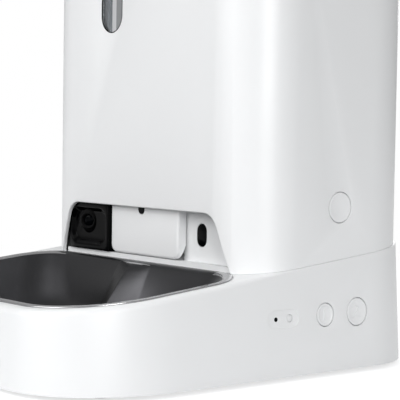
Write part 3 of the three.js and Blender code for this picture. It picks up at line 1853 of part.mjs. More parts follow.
// Materials
const plain = (color, roughness, metalness = 0) =>
  new THREE.MeshStandardMaterial({ color, roughness, metalness });
const whiteShell = plain("#eeeff0", 0.35);
const warmWhite = plain("#e9eaeb", 0.4);
const greyShell = plain("#9a9c9f", 0.5);
const blackGloss = plain("#0b0b0c", 0.08);
const blackMatt = plain("#1b1c1e", 0.6);
const darkSteel = plain("#3c3c3e", 0.3, 1);
const brightSteel = plain("#b9bbbe", 0.3, 1);
const rubber = plain("#c9cacc", 0.85);
const silicone = plain("#d5d8da", 0.7);
const gearPlastic = plain("#e6e1d2", 0.5);
const boardGreen = plain("#1f5c3a", 0.5);
const cellSkin = plain("#3a4a5c", 0.4);
const clear = new THREE.MeshStandardMaterial({
  color: "#aeb4ba",
  roughness: 0.1,
  transparent: true,
  opacity: 0.5,
});

// Assembly
const feeder = new THREE.Group();
const base = new THREE.Group();
const tower = new THREE.Group();
const lid = new THREE.Group();
tower.add(lid);
feeder.add(base, tower);

function place(parent, name, made, material, x = 0, y = 0, z = 0) {
  const mesh = new THREE.Mesh(geometryOf(made), material);
  mesh.name = name;
  mesh.position.set(x, y, z);
  parent.add(mesh);
  return mesh;
}

const sides = [
  ["left", -1],
  ["right", 1],
];

place(base, "base_shell", makeBaseShell(), whiteShell);
place(base, "bottom_cover", makeBottomCover(), warmWhite);
place(base, "bowl_well", makeBowlWell(), whiteShell);
place(base, "bowl", makeBowl(), darkSteel);
place(base, "core_housing", makeCoreHousing(), warmWhite);
place(base, "chute", makeChute(), warmWhite);
place(base, "chute_flap", makeFlap(), whiteShell);
place(base, "flap_sensor_window", makeFlapSensor(), blackGloss);
place(base, "camera_bezel", makeBezel(), blackGloss);
place(base, "camera_barrel", makeBarrel(), blackMatt);
place(base, "camera_lens", makeLens(), blackGloss);
place(base, "food_sensor_window", makeSensorWindow(), blackGloss);
place(base, "main_board", makeMainBoard(), boardGreen);
place(base, "button_board", makeButtonBoard(), boardGreen);
place(base, "speaker", makeSpeaker(), blackMatt);
place(base, "power_inlet", makeInlet(), blackMatt);
place(base, "battery_door", makeBatteryDoor(), warmWhite);
place(base, "drive_frame", makeDriveFrame(), greyShell);

[
  ["foot_front_right", footFrontX, -footFrontY],
  ["foot_front_left", -footFrontX, -footFrontY],
  ["foot_rear_right", footRearX, footRearY],
  ["foot_rear_left", -footRearX, footRearY],
].forEach(([name, x, y]) => place(base, name, makeFoot(), rubber, x, y));

screwPlaces.forEach(([x, y], i) =>
  place(base, `cover_screw_${i + 1}`, makeScrew(), brightSteel, x, y, coverLow + screwHeadLift),
);

for (let i = 0; i < cellCount; i += 1) {
  const cell = place(base, `battery_cell_${i + 1}`, makeCell(), cellSkin);
  const facesFront = i % 2 === 1;
  const middle = (bayFrontY + bayRearY) / 2;
  const half = (cellLength + cellNubLength) / 2;
  cell.rotation.x = facesFront ? Math.PI / 2 : -Math.PI / 2;
  cell.position.set(
    (i - (cellCount - 1) / 2) * cellPitch,
    facesFront ? middle + half : middle - half,
    coverLow + doorThickness + cellLift + cellRadius,
  );
}

[
  ["feed_button_1", makeFeedButton(feedOneRadius), feedOneY, whiteShell],
  ["feed_button_2", makeFeedButton(feedTwoRadius), feedTwoY, whiteShell],
  ["indicator_lens", makeIndicator(), indicatorY, clear],
  ["microphone", makeMicrophone(), microphoneY, blackMatt],
].forEach(([name, made, y, material]) => {
  const mesh = place(base, name, made, material, ...wallPoint(behind(y), 1));
  mesh.rotation.y = Math.PI / 2 - wallTilt;
});

sides.forEach(([name, side]) => {
  place(base, `drive_gear_${name}`, makeDriveGear(side), gearPlastic, side * rotorX, behind(rotorY));
  const motorX = side * (rotorX + motorOffsetX);
  const motorY = behind(rotorY + motorOffsetY);
  place(base, `motor_pinion_${name}`, makePinion(side), gearPlastic, motorX, motorY);
  place(base, `gear_motor_${name}`, makeMotor(), brightSteel, motorX, motorY);
});

place(tower, "tower_shell", makeTowerShell(), whiteShell);
place(tower, "level_window", makeLevelWindow(), clear);
place(tower, "drum_plate", makeDrumPlate(), greyShell);
place(tower, "top_frame", makeTopFrame(), whiteShell);
sides.forEach(([name, side]) => {
  place(tower, `hopper_${name}`, makeHopper(side), clear);
  place(tower, `rotor_${name}`, makeRotor(), silicone, side * rotorX, behind(rotorY));
  place(tower, `baffle_${name}`, makeBaffle(side), silicone, side * rotorX, behind(rotorY));
  const release = place(tower, `release_button_${name}`, makeReleaseButton(), whiteShell);
  release.scale.x = side;
  place(lid, `lid_seal_${name}`, makeLidSeal(side), silicone);
});
place(lid, "lid", makeLid(), whiteShell);
place(lid, "lid_liner", makeLidLiner(), warmWhite);
place(lid, "desiccant_box", makeDesiccantBox(), warmWhite);
place(lid, "lid_latch", makeLidLatch(), whiteShell);
place(lid, "hinge_pin", makeHingePin(), brightSteel);

export default feeder;
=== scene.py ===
# %% [markdown]
# # A camera pet feeder, dressed in Blender
#
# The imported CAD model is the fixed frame: its solids already move on their joints. This lesson
# builds the camera and the light, mixes one material for each real finish, and then remodels the
# pieces that the eye rests on with the curves and edges that moulded and pressed parts have.

# %% Load the frame
import json
import math

import bmesh
import bpy
from mathutils import Matrix, Vector

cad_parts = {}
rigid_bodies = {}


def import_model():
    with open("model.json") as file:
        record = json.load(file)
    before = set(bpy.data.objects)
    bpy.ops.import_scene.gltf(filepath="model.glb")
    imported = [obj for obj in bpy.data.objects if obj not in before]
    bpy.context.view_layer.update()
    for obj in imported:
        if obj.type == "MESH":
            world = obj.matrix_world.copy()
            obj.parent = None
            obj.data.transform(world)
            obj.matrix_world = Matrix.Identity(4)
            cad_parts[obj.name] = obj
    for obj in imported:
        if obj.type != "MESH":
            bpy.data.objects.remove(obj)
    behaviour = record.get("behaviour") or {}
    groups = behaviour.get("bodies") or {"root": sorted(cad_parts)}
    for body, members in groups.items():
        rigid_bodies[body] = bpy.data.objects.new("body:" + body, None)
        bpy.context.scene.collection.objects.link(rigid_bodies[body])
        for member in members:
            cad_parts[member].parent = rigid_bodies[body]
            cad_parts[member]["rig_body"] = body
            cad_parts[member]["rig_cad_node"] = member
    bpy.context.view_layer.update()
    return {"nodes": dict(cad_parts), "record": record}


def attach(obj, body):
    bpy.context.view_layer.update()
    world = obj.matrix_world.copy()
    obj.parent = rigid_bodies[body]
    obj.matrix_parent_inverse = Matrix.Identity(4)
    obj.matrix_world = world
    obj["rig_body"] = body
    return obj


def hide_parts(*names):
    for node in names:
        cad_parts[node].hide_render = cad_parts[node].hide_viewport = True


MM = 0.001

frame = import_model()

# %% [markdown]
# ## The camera
#
# The picture was taken by a long lens from the front right, almost level with the bowl. A camera
# could be aimed with a tracking constraint, but the picture is also turned by less than a degree,
# so its axes are worked out here from three angles and written into its matrix.

# %% Camera
CAMERA_PLACE = Vector((817.03, -627.53, 169.67)) * MM
CAMERA_AZIMUTH = math.radians(50.569)
CAMERA_PITCH = math.radians(3.059)
CAMERA_ROLL = 0.015
CAMERA_LENS = 129.45

looks = Vector(
    (
        -math.sin(CAMERA_AZIMUTH) * math.cos(CAMERA_PITCH),
        math.cos(CAMERA_AZIMUTH) * math.cos(CAMERA_PITCH),
        -math.sin(CAMERA_PITCH),
    )
)
level_right = Vector((math.cos(CAMERA_AZIMUTH), math.sin(CAMERA_AZIMUTH), 0))
level_up = level_right.cross(looks)
picture_right = level_right * math.cos(CAMERA_ROLL) + level_up * math.sin(CAMERA_ROLL)
picture_up = level_up * math.cos(CAMERA_ROLL) - level_right * math.sin(CAMERA_ROLL)

bpy.ops.object.camera_add()
camera = bpy.context.object
camera.name = "camera"
camera.data.lens = CAMERA_LENS
camera.data.clip_start = 0.01
camera.matrix_world = Matrix.Translation(CAMERA_PLACE) @ Matrix(
    (picture_right, picture_up, -looks)
).transposed().to_4x4()
bpy.context.scene.camera = camera
print("camera looks along", [round(c, 3) for c in looks])

# %% [markdown]
# ## Colours and nodes
#
# Colours are written as sRGB hex values, as a paint chart gives them, but shaders add light and
# want linear values. One function turns one into the other. A second adds a shader node, sets it
# and links it, so that each material below reads as a short recipe.


# %% Helpers for materials
def linear(code):
    """The linear colour of an sRGB hex value such as "f0f1f2"."""
    shares = [int(code[i : i + 2], 16) / 255 for i in (0, 2, 4)]
    return [s / 12.92 if s <= 0.04045 else ((s + 0.055) / 1.055) ** 2.4 for s in shares] + [1]


def add_node(tree, kind, values=None, links=None, **settings):
    """Adds a node of that kind, sets it, links it from other outputs and gives its own outputs."""
    node = tree.nodes.new("ShaderNode" + kind)
    for name, value in settings.items():
        setattr(node, name, value)
    for socket, value in (values or {}).items():
        node.inputs[socket].default_value = value
    for socket, source in (links or {}).items():
        tree.links.new(source, node.inputs[socket])
    return node.outputs


def empty_material(name):
    """A new material with nothing in its tree, and the tree."""
    material = bpy.data.materials.new(name)
    material.use_nodes = True
    material.node_tree.nodes.clear()
    return material, material.node_tree


# %% [markdown]
# ## Floor, backdrop and light
#
# The feeder stands in a plain white studio. The background is white because the camera sees it so,
# with Light Path's Is Camera Ray, and not because more lamps shine on the object. Near the object
# the floor is a real pale surface that takes its shadow, and it fades to plain white further out.

# %% Stage
FLOOR_HALF = 6.0
FLOOR_FADE_FROM = 0.45
FLOOR_FADE_TO = 0.9
FLOOR_LIFT = 0.66

bpy.ops.object.select_all(action="DESELECT")
bpy.ops.mesh.primitive_plane_add(size=2 * FLOOR_HALF, location=(0, 0, 0))
floor = bpy.context.object
floor.name = "studio_floor"

floor_paint, tree = empty_material("floor_matt_paint")
place = add_node(tree, "TexCoord")
distance = add_node(tree, "VectorMath", links={0: place["Object"]}, operation="LENGTH")
fade = add_node(
    tree,
    "MapRange",
    {"From Min": FLOOR_FADE_FROM, "From Max": FLOOR_FADE_TO},
    {"Value": distance["Value"]},
    interpolation_type="SMOOTHSTEP",
)
paint = add_node(tree, "BsdfDiffuse", {"Color": linear("c9cacb")})
path = add_node(tree, "LightPath")
rays = {0: path["Is Camera Ray"], 1: path["Is Glossy Ray"]}
seen = add_node(tree, "Math", links=rays, operation="MAXIMUM")
lift_strength = add_node(tree, "Math", {1: FLOOR_LIFT}, {0: seen[0]}, operation="MULTIPLY")
lift = add_node(tree, "Emission", links={"Strength": lift_strength[0]})
near = add_node(tree, "AddShader", links={0: paint[0], 1: lift[0]})
far = add_node(tree, "Emission", links={"Strength": seen[0]})
floor_mix = add_node(tree, "MixShader", links={0: fade["Result"], 1: near[0], 2: far[0]})
add_node(tree, "OutputMaterial", links={"Surface": floor_mix[0]})
floor.data.materials.append(floor_paint)
print("floor plane", 2 * FLOOR_HALF, "m wide, plain white from", FLOOR_FADE_TO, "m out")

# %% World and lamps
WORLD_LIGHT = 0.42
LAMPS = {
    # name: (place, what it points at, width, height, watts)
    "window_light": ((-0.28, -1.36, 0.75), (0, -0.02, 0.14), 1.0, 0.9, 9.9),
    "top_light": ((-0.1, -0.85, 1.15), (0, 0, 0.1), 0.7, 0.7, 1.8),
    "side_light": ((1.44, -0.62, 0.5), (0.1, -0.05, 0.14), 0.6, 0.8, 11.3),
    "low_light": ((0.3, -1.3, 0.2), (0, -0.02, 0.12), 0.9, 0.35, 0.7),
    "rear_light": ((-0.95, 1.25, 0.8), (0, 0.1, 0.15), 0.9, 0.9, 7.0),
}

world = bpy.data.worlds.new("studio")
bpy.context.scene.world = world
world.use_nodes = True
tree = world.node_tree
tree.nodes.clear()
path = add_node(tree, "LightPath")
rays = {0: path["Is Camera Ray"], 1: path["Is Transmission Ray"]}
seen = add_node(tree, "Math", links=rays, operation="MAXIMUM")
soft = add_node(tree, "Background", {"Color": linear("ffffff"), "Strength": WORLD_LIGHT})
white = add_node(tree, "Background", {"Color": linear("ffffff"), "Strength": 1})
both = add_node(tree, "MixShader", links={0: seen[0], 1: soft[0], 2: white[0]})
add_node(tree, "OutputWorld", links={"Surface": both[0]})

for name, (place, target, width, height, watts) in LAMPS.items():
    bpy.ops.object.light_add(type="AREA", location=place)
    lamp = bpy.context.object
    lamp.name = name
    lamp.data.shape = "RECTANGLE"
    lamp.data.size = width
    lamp.data.size_y = height
    lamp.data.energy = watts
    aim = Vector(target) - Vector(place)
    lamp.rotation_euler = aim.to_track_quat("-Z", "Y").to_euler()
    print(name, watts, "W from", round(aim.length, 2), "m")

bpy.context.scene.view_settings.view_transform = "Standard"

# %% [markdown]
# ## Moulded plastic
#
# The casings are ABS, injection moulded in a polished tool and then lightly blasted, which gives a
# satin face with a soft highlight. A flat white would look like paper: a real moulding has a very
# faint orange peel, about a millimetre across, and its gloss varies slowly over the face. So a
# finish is mixed from two noises on the object's own coordinates, a slow drift and a fine grain.


# %% Helper for finishes
def mix_finish(name, colours, noises, gloss, gloss_noise, bump, values):
    """A material of one colour, or of two that the noise "drift" blends.

    A noise is (size in mm, detail, roughness). gloss is a roughness and its spread, which follows
    gloss_noise, and bump the strength and depth in mm of the relief that the noise "grain" draws.
    """
    material, tree = empty_material(name)
    place = add_node(tree, "TexCoord")
    waves = {}
    for kind, (size, detail, roughness) in noises.items():
        noise = {"Scale": 1 / (size * MM), "Detail": detail, "Roughness": roughness}
        waves[kind] = add_node(tree, "TexNoise", noise, {"Vector": place["Object"]})["Fac"]
    spread = {"To Min": gloss[0] - gloss[1], "To Max": gloss[0] + gloss[1]}
    rough = add_node(tree, "MapRange", spread, {"Value": waves[gloss_noise]})
    relief = {"Strength": bump[0], "Distance": bump[1] * MM}
    normal = add_node(tree, "Bump", relief, {"Height": waves["grain"]})
    links = {"Roughness": rough["Result"], "Normal": normal["Normal"]}
    if len(colours) == 1:
        values["Base Color"] = linear(colours[0])
    else:
        ends = {"A": linear(colours[0]), "B": linear(colours[1])}
        tone = add_node(tree, "Mix", ends, {"Factor": waves["drift"]}, data_type="RGBA")
        links["Base Color"] = tone["Result"]
    shader = add_node(tree, "BsdfPrincipled", values, links)
    add_node(tree, "OutputMaterial", links={"Surface": shader[0]})
    return material


# %% Materials of moulded plastic and rubber
def moulded_plastic(name, colours, gloss, peel_mm, peel_depth, ior=1.53, shine=0.5):
    """A moulded plastic: a slow drift of tone and gloss, and a fine peel in the surface."""
    noises = {"drift": (60, 2.0, 0.5), "grain": (peel_mm, 3.0, 0.6)}
    values = {"IOR": ior, "Specular IOR Level": shine}
    return mix_finish(name, colours, noises, gloss, "drift", (0.35, peel_depth), values)


# ABS from a polished and lightly blasted tool: a clean white with a wide, soft highlight. The real
# peel is about 0.3 mm across; it is drawn at 1.1 mm, coarse enough to show.
white_abs = moulded_plastic("white_abs_satin", ("eff0f1", "ebeced"), (0.34, 0.04), 1.1, 0.01)

# The same ABS from a spark-eroded tool, for inner parts: duller and a touch greyer. Its texture of
# about 0.1 mm is drawn at 0.8 mm.
white_abs_fine = moulded_plastic(
    "white_abs_fine_texture", ("e9eaeb", "e5e6e7"), (0.5, 0.05), 0.8, 0.02
)

# Polypropylene, moulded: a waxy grey that takes no sharp highlight
grey_polypropylene = moulded_plastic(
    "grey_polypropylene_moulded", ("9b9da0", "939598"), (0.48, 0.06), 1.4, 0.03, ior=1.49
)

# Black ABS from a blasted tool: nearly no highlight, so that the barrel looks like a dark hole
black_abs = moulded_plastic(
    "black_abs_blasted", ("050506", "080809"), (0.55, 0.08), 0.9, 0.03, shine=0.08
)

# Acrylic, moulded in a mirror tool: black and glossy, and seen only by what its edges mirror
black_acrylic = moulded_plastic(
    "black_acrylic_polished", ("020203", "040405"), (0.12, 0.03), 6.0, 0.002, 1.49, 0.055
)

# Acetal, moulded in its own colour: warm ivory with the waxy gloss of a gear
natural_acetal = moulded_plastic(
    "natural_acetal_moulded", ("e9e4d6", "e3ddcd"), (0.42, 0.05), 1.5, 0.02, ior=1.48
)

# Thermoplastic rubber from a blasted tool: pale grey and dull, so that a foot or seal looks soft.
# Its grain of 0.2 mm is drawn at 0.9 mm.
grey_rubber = moulded_plastic(
    "grey_thermoplastic_rubber", ("c4c5c7", "babbbd"), (0.82, 0.06), 0.9, 0.06, ior=1.52
)

# Silicone, pressed in a warm tool: milky white with a faint greasy sheen
milky_silicone = moulded_plastic(
    "milky_silicone_pressed", ("dadcdd", "d2d4d6"), (0.58, 0.06), 2.2, 0.02, ior=1.41
)

# Solder lacquer, printed on a board: deep green with a thin even gloss
board_lacquer = moulded_plastic(
    "board_solder_lacquer", ("1d5b39", "184f31"), (0.38, 0.06), 1.6, 0.02
)

# PVC sleeve, shrunk on a cell: dark blue and glossy, with long slow ripples
cell_sleeve = moulded_plastic("cell_pvc_sleeve", ("33445a", "2d3c50"), (0.33, 0.05), 2.4, 0.01)
print("mixed", len(bpy.data.materials), "materials")

# %% [markdown]
# ## Metals and clear plastics
#
# The bowl is stainless steel with a dark satin finish: the eye gets soft broad highlights and a
# grey that follows the room. Brushed grain could be drawn as an image; here the fine noise changes
# the roughness a little instead, so the highlight breaks up as it does on a blasted sheet. The
# screws and motors are zinc plated, and the window and hoppers polycarbonate.

# %% Materials for metal
def satin_metal(name, colours, gloss, grain_mm, grain_depth=0.04):
    """A slightly cloudy metal, whose roughness follows a fine grain."""
    noises = {"drift": (45, 2.0, 0.5), "grain": (grain_mm, 4.0, 0.65)}
    return mix_finish(name, colours, noises, gloss, "grain", (0.5, grain_depth), {"Metallic": 1.0})


# Stainless steel sheet, deep drawn, blasted and darkened: it mirrors the room in dim, soft patches.
# The pits of the blasting are about 0.1 mm; they are drawn at 1.5 mm, so that highlights break up.
dark_steel = satin_metal(
    "dark_blasted_stainless_steel", ("4a4a4c", "434345"), (0.33, 0.11), 1.5, 0.12
)

# The same steel made lighter on the flange: a painted highlight, one bright line round the dark
# bowl where the rim's curve would catch the light
flange_highlight_steel = satin_metal("stainless_steel_painted_highlight", ("c4c4c5", "b8b8ba"), (0.2, 0.05), 2.0)

# Zinc plated steel: pale and slightly cloudy, as on screws, pins and motor cans
zinc_steel = satin_metal("zinc_plated_steel", ("b9bcbf", "aeb1b5"), (0.3, 0.08), 2.0)
print("mixed", len(bpy.data.materials), "materials")

# %% Materials for glass and clear plastic
def clear_plastic(name, colour, roughness, transmission, ior=1.58, shine=0.5):
    """A clear or tinted plastic that light passes through, with a faint waviness from its mould."""
    noises = {"grain": (18, 2.0, 0.4)}
    gloss = (roughness, 0.3 * roughness)
    values = {"IOR": ior, "Specular IOR Level": shine, "Transmission Weight": transmission}
    return mix_finish(name, [colour], noises, gloss, "grain", (0.15, 0.05), values)


# Polycarbonate, moulded clear: the window pane, seen by its rim and by what is behind it
clear_polycarbonate = clear_plastic("clear_polycarbonate", "dfe3e6", 0.05, 1.0)

# Polycarbonate with a smoky tint, for the stores: light enters and is lost, which gives grey depth
smoky_polycarbonate = clear_plastic("smoky_polycarbonate", "a3a6aa", 0.22, 0.45)

# Polycarbonate with a white filler, for the indicator: a pale dot that spreads a lamp's light
milky_polycarbonate = clear_plastic("milky_polycarbonate", "f0f1f2", 0.3, 0.08)

# The pane where the wall between the stores stands behind it: a pale, nearly closed band
pale_polycarbonate = clear_plastic("pale_polycarbonate", "cacbcd", 0.25, 0.15)

# The pane before the narrow store, frosted behind: lighter and flatter than the clear part
frosted_polycarbonate = clear_plastic("frosted_polycarbonate", "a4a6a8", 0.25, 0.4)

# Optical glass, ground and coated: almost black, because the coating takes most of the reflection
coated_glass = clear_plastic("coated_lens_glass", "030406", 0.05, 0.0, 1.62, 0.025)
print("mixed", len(bpy.data.materials), "materials")

# %% Give each CAD node its material
SLOT_MATERIALS = {
    "shell_white": white_abs,
    "inner_white": white_abs_fine,
    "inner_grey": grey_polypropylene,
    "black_gloss": black_acrylic,
    "black_matt": black_abs,
    "lens_glass": coated_glass,
    "board_green": board_lacquer,
    "foot_rubber": grey_rubber,
    "plain_steel": zinc_steel,
    "cell_skin": cell_sleeve,
    "clear_plastic": smoky_polycarbonate,
    "gear_plastic": natural_acetal,
    "silicone": milky_silicone,
    "bowl_steel": dark_steel,
}
for row in frame["record"]["subparts"]:
    node = frame["nodes"][row["node"]]
    node.data.materials.clear()
    node.data.materials.append(SLOT_MATERIALS[row["material_slot"]])

# %% [markdown]
# ## Modelling helpers
#
# Every piece starts as a primitive, is shaped in edit mode and is finished with modifiers, as it
# would be by hand. The steps that come back for each piece are small functions: open a piece, pick
# its corners, edges or faces by where they are, round them, cut one shape out of another. Lengths
# are in millimetres, as on a drawing, and become metres where a tool is called.


# %% Helpers for picking and rounding
MERGE = 0.002  # corners nearer to each other than this are merged
NEAR = 0.01  # how far off a length may be and still count as the one that was drawn
CLOSE = 0.05  # the same on a curve or a slope
SHARP = 60  # degrees; a fold above it is an edge, and one below it part of a curve
MOSTLY = 0.9  # a face looks along an axis when its normal has more than this of it


def clear_selection():
    """Object mode, with nothing selected."""
    if bpy.context.mode != "OBJECT":
        bpy.ops.object.mode_set(mode="OBJECT")
    bpy.ops.object.select_all(action="DESELECT")


def take(piece):
    """Makes the piece the only one selected, and the active one."""
    clear_selection()
    piece.select_set(True)
    bpy.context.view_layer.objects.active = piece


def edit(piece):
    """Opens the piece in edit mode with all of it selected."""
    take(piece)
    bpy.ops.object.mode_set(mode="EDIT")
    bpy.ops.mesh.select_all(action="SELECT")


def mid(part):
    """The middle of a corner, an edge or a face."""
    points = [corner.co for corner in getattr(part, "verts", [part])]
    return sum(points, Vector()) / len(points) / MM


def is_at(length, place, within=NEAR):
    """Whether two lengths are the same, give or take a little."""
    return abs(length - place) < within


def runs(edge, axis):
    """Whether an edge runs along that axis: 0, 1 or 2."""
    line = (edge.verts[1].co - edge.verts[0].co).normalized()
    return abs(line[axis]) > 0.999


def folds(edge, degrees=SHARP):
    """Whether the faces beside an edge meet at more than that angle."""
    return len(edge.link_faces) == 2 and edge.calc_face_angle() > math.radians(degrees)


def pick(kind, test):
    """In edit mode, selects only the VERT, EDGE or FACE parts that pass the test."""
    bpy.ops.mesh.select_mode(type=kind)
    bpy.ops.mesh.select_all(action="DESELECT")
    shape = bmesh.from_edit_mesh(bpy.context.object.data)
    shape.normal_update()
    parts = {"VERT": shape.verts, "EDGE": shape.edges, "FACE": shape.faces}[kind]
    chosen = [part for part in parts if test(part)]
    for part in chosen:
        part.select_set(True)
    shape.select_flush_mode()
    bmesh.update_edit_mesh(bpy.context.object.data)
    return len(chosen)


def soften(piece, radius, segments, test):
    """Rounds the edges of the piece that pass the test."""
    edit(piece)
    count = pick("EDGE", test)
    bpy.ops.mesh.bevel(
        offset=radius * MM, segments=segments, profile=0.5, affect="EDGES", clamp_overlap=False
    )
    clear_selection()
    print("rounded", count, "edges of", piece.name, "to", round(radius, 2), "mm")


def delete_faces(test):
    """In edit mode, deletes the faces that pass the test."""
    pick("FACE", test)
    bpy.ops.mesh.delete(type="FACE")


def cut_flat(place, normal, **settings):
    """In edit mode, cuts the whole piece by a plane through that place."""
    bpy.ops.mesh.select_all(action="SELECT")
    bpy.ops.mesh.bisect(plane_co=[length * MM for length in place], plane_no=normal, **settings)


# %% Helpers for modifiers and for joining
def modify(piece, kind, **settings):
    """Adds a modifier to the piece, sets it and applies it."""
    take(piece)
    modifier = piece.modifiers.new(kind.lower(), kind)
    for name, value in settings.items():
        setattr(modifier, name, value)
    bpy.ops.object.modifier_apply(modifier=modifier.name)


def thicken(piece, wall):
    """Gives a sheet its wall, on the inner side."""
    modify(piece, "SOLIDIFY", thickness=wall * MM, offset=-1, use_even_offset=True)


def merge_corners(piece):
    """Merges corners that lie on each other."""
    edit(piece)
    bpy.ops.mesh.remove_doubles(threshold=MERGE * MM)
    clear_selection()


def cut_away(piece, *cutters):
    """Takes the cutters out of the piece and deletes them."""
    for cutter in cutters:
        modify(piece, "BOOLEAN", operation="DIFFERENCE", object=cutter, solver="EXACT")
        bpy.data.objects.remove(cutter)
        merge_corners(piece)


def weld(piece, *others):
    """Makes one solid of the piece and the others, and deletes the others."""
    for other in others:
        modify(piece, "BOOLEAN", operation="UNION", object=other, solver="EXACT")
        bpy.data.objects.remove(other)


def join_to(piece, *others):
    """Joins the others into the piece's mesh."""
    take(piece)
    for other in others:
        other.select_set(True)
    bpy.ops.object.join()


def copy_of(piece, name):
    """A copy of the piece, with a mesh of its own."""
    take(piece)
    bpy.ops.object.duplicate(linked=False)
    bpy.context.object.name = name
    return bpy.context.object


# %% Helpers for the first shapes
def moved(x, y, z):
    """The matrix that moves a shape by that much."""
    return Matrix.Translation(Vector((x, y, z)) * MM)


def settle(name):
    """Names the object just added and writes its place, turn and size into its mesh."""
    piece = bpy.context.object
    piece.name = name
    take(piece)
    bpy.ops.object.transform_apply(location=True, rotation=True, scale=True)
    return piece


def add_block(name, low, high):
    """A block between two corners."""
    clear_selection()
    low, high = Vector(low) * MM, Vector(high) * MM
    bpy.ops.mesh.primitive_cube_add(size=1, location=(low + high) / 2)
    bpy.context.object.scale = high - low
    return settle(name)


def add_rounded_block(name, low, high, front_corner, rear_corner, segments=24):
    """A block with round upright edges; front_corner is a radius along X and one along Y."""
    radius, stretched = front_corner
    arc_start = low[1] + stretched
    piece = add_block(name, (low[0], arc_start - radius, low[2]), high)
    soften(piece, radius, segments, lambda edge: runs(edge, 2) and mid(edge).y < arc_start)
    soften(piece, rear_corner, segments, lambda edge: runs(edge, 2) and is_at(mid(edge).y, high[1]))
    if stretched != radius:
        edit(piece)
        pick("VERT", lambda corner: mid(corner).y < arc_start + NEAR)
        bpy.ops.transform.resize(
            value=(1, stretched / radius, 1), center_override=(0, arc_start * MM, 0)
        )
        clear_selection()
    return piece


def add_slot(name, low, high, radius, segments):
    """A block whose edges along Y are round: a slot or a window seen from the front."""
    piece = add_block(name, low, high)
    soften(piece, radius, segments, lambda edge: runs(edge, 1))
    return piece


def add_turned(name, rows, sides, turn):
    """A disc extruded through rows of (radius, height), as a turned piece, and put in place."""
    clear_selection()
    radius, height = rows[0]
    bpy.ops.mesh.primitive_circle_add(
        vertices=sides, radius=radius * MM, fill_type="NGON", location=(0, 0, height * MM)
    )
    piece = settle(name)
    edit(piece)
    bpy.ops.mesh.select_mode(type="FACE")
    for next_radius, next_height in rows[1:]:
        bpy.ops.mesh.extrude_region_move(
            TRANSFORM_OT_translate={"value": (0, 0, (next_height - height) * MM)}
        )
        share = next_radius / radius
        bpy.ops.transform.resize(value=(share, share, 1), center_override=(0, 0, next_height * MM))
        radius, height = next_radius, next_height
    bpy.ops.mesh.select_all(action="SELECT")
    bpy.ops.mesh.normals_make_consistent(inside=False)
    clear_selection()
    piece.data.transform(turn)
    return piece


def rod_rows(radius, start, end, edge):
    """The rows of a rod from start to end, whose ends have a chamfer."""
    thin = radius - edge
    return [(thin, start), (radius, start + edge), (radius, end - edge), (thin, end)]


# %% Helpers for finishing a piece
BODY_OF = {
    node: body
    for body, members in frame["record"]["behaviour"]["bodies"].items()
    for node in members
}


def tell(piece):
    """Prints the size of a piece and its number of faces."""
    size = [round(side / MM, 1) for side in piece.dimensions]
    print(piece.name, "is", size, "mm, with", len(piece.data.polygons), "faces")


def dress(piece, material, body, soft_to):
    """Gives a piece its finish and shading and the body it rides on."""
    take(piece)
    bpy.ops.object.shade_smooth_by_angle(angle=math.radians(soft_to))
    piece.data.materials.clear()
    piece.data.materials.append(material)
    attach(piece, body)
    tell(piece)


def hand_over(piece, material, node, soft_to=35):
    """Dresses a piece that stands where a CAD node does and takes its place."""
    dress(piece, material, BODY_OF[node], soft_to)
    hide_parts(node)


# %% [markdown]
# ## The base casing
#
# The base is one large moulding: walls that lean in as they rise so that it leaves its tool, a deck
# that slopes down to the front, and a wide soft edge at the front that fades to almost none beside
# the tower. A scaled cube has no such lean, so a thin slab with its real plan is inset and raised
# in one step, the deck is cut by a tilted plane, and a weighted bevel makes the fading edge.

# %% The sloping deck
FACE_Y = -13.5
DECK_HEIGHT = 69.55
DECK_SLOPE = 0.1089
DECK_NORMAL = Vector((0, -DECK_SLOPE, 1)).normalized()


def deck_at(y):
    """The height of the deck."""
    return DECK_HEIGHT + DECK_SLOPE * (y - FACE_Y)


# What is drawn flat round height 0 is laid on the sloping deck by this matrix
ON_DECK = Matrix.Identity(4)
ON_DECK[2][1] = DECK_SLOPE
ON_DECK[2][3] = deck_at(0) * MM
print("the deck is", round(deck_at(FACE_Y), 1), "mm high at the tower's face")

# %% Base casing: body
BASE_HALF_WIDTH = 128
BASE_HALF_LENGTH = 158.4
BASE_FRONT_CORNER = (65, 82.5)
BASE_REAR_CORNER = 58.2
BASE_FOOT = 3
BASE_LEAN = 0.0485
BASE_WALL = 3
FULL_RISE = 90
FADE_FROM = FACE_Y - 28.55
FADE_TO = FACE_Y + 41.45
FADE_STEPS = 14

base_casing = add_rounded_block(
    "base_casing",
    (-BASE_HALF_WIDTH, -BASE_HALF_LENGTH, BASE_FOOT - 1),
    (BASE_HALF_WIDTH, BASE_HALF_LENGTH, BASE_FOOT),
    BASE_FRONT_CORNER,
    BASE_REAR_CORNER,
)
edit(base_casing)
pick("FACE", lambda face: face.normal.z > MOSTLY)
bpy.ops.mesh.inset(thickness=BASE_LEAN * FULL_RISE * MM, depth=FULL_RISE * MM)
delete_faces(lambda face: mid(face).z < BASE_FOOT - NEAR)
cut_flat((0, 0, deck_at(0)), DECK_NORMAL, use_fill=True, clear_outer=True)
for step in range(FADE_STEPS + 1):
    cut_flat((0, FADE_FROM + (FADE_TO - FADE_FROM) * step / FADE_STEPS, 0), (0, 1, 0))
clear_selection()
thicken(base_casing, BASE_WALL)
tell(base_casing)

# %% Base casing: the edge of the deck
WIDE_EDGE = 4.5
NARROW_EDGE = 0.5

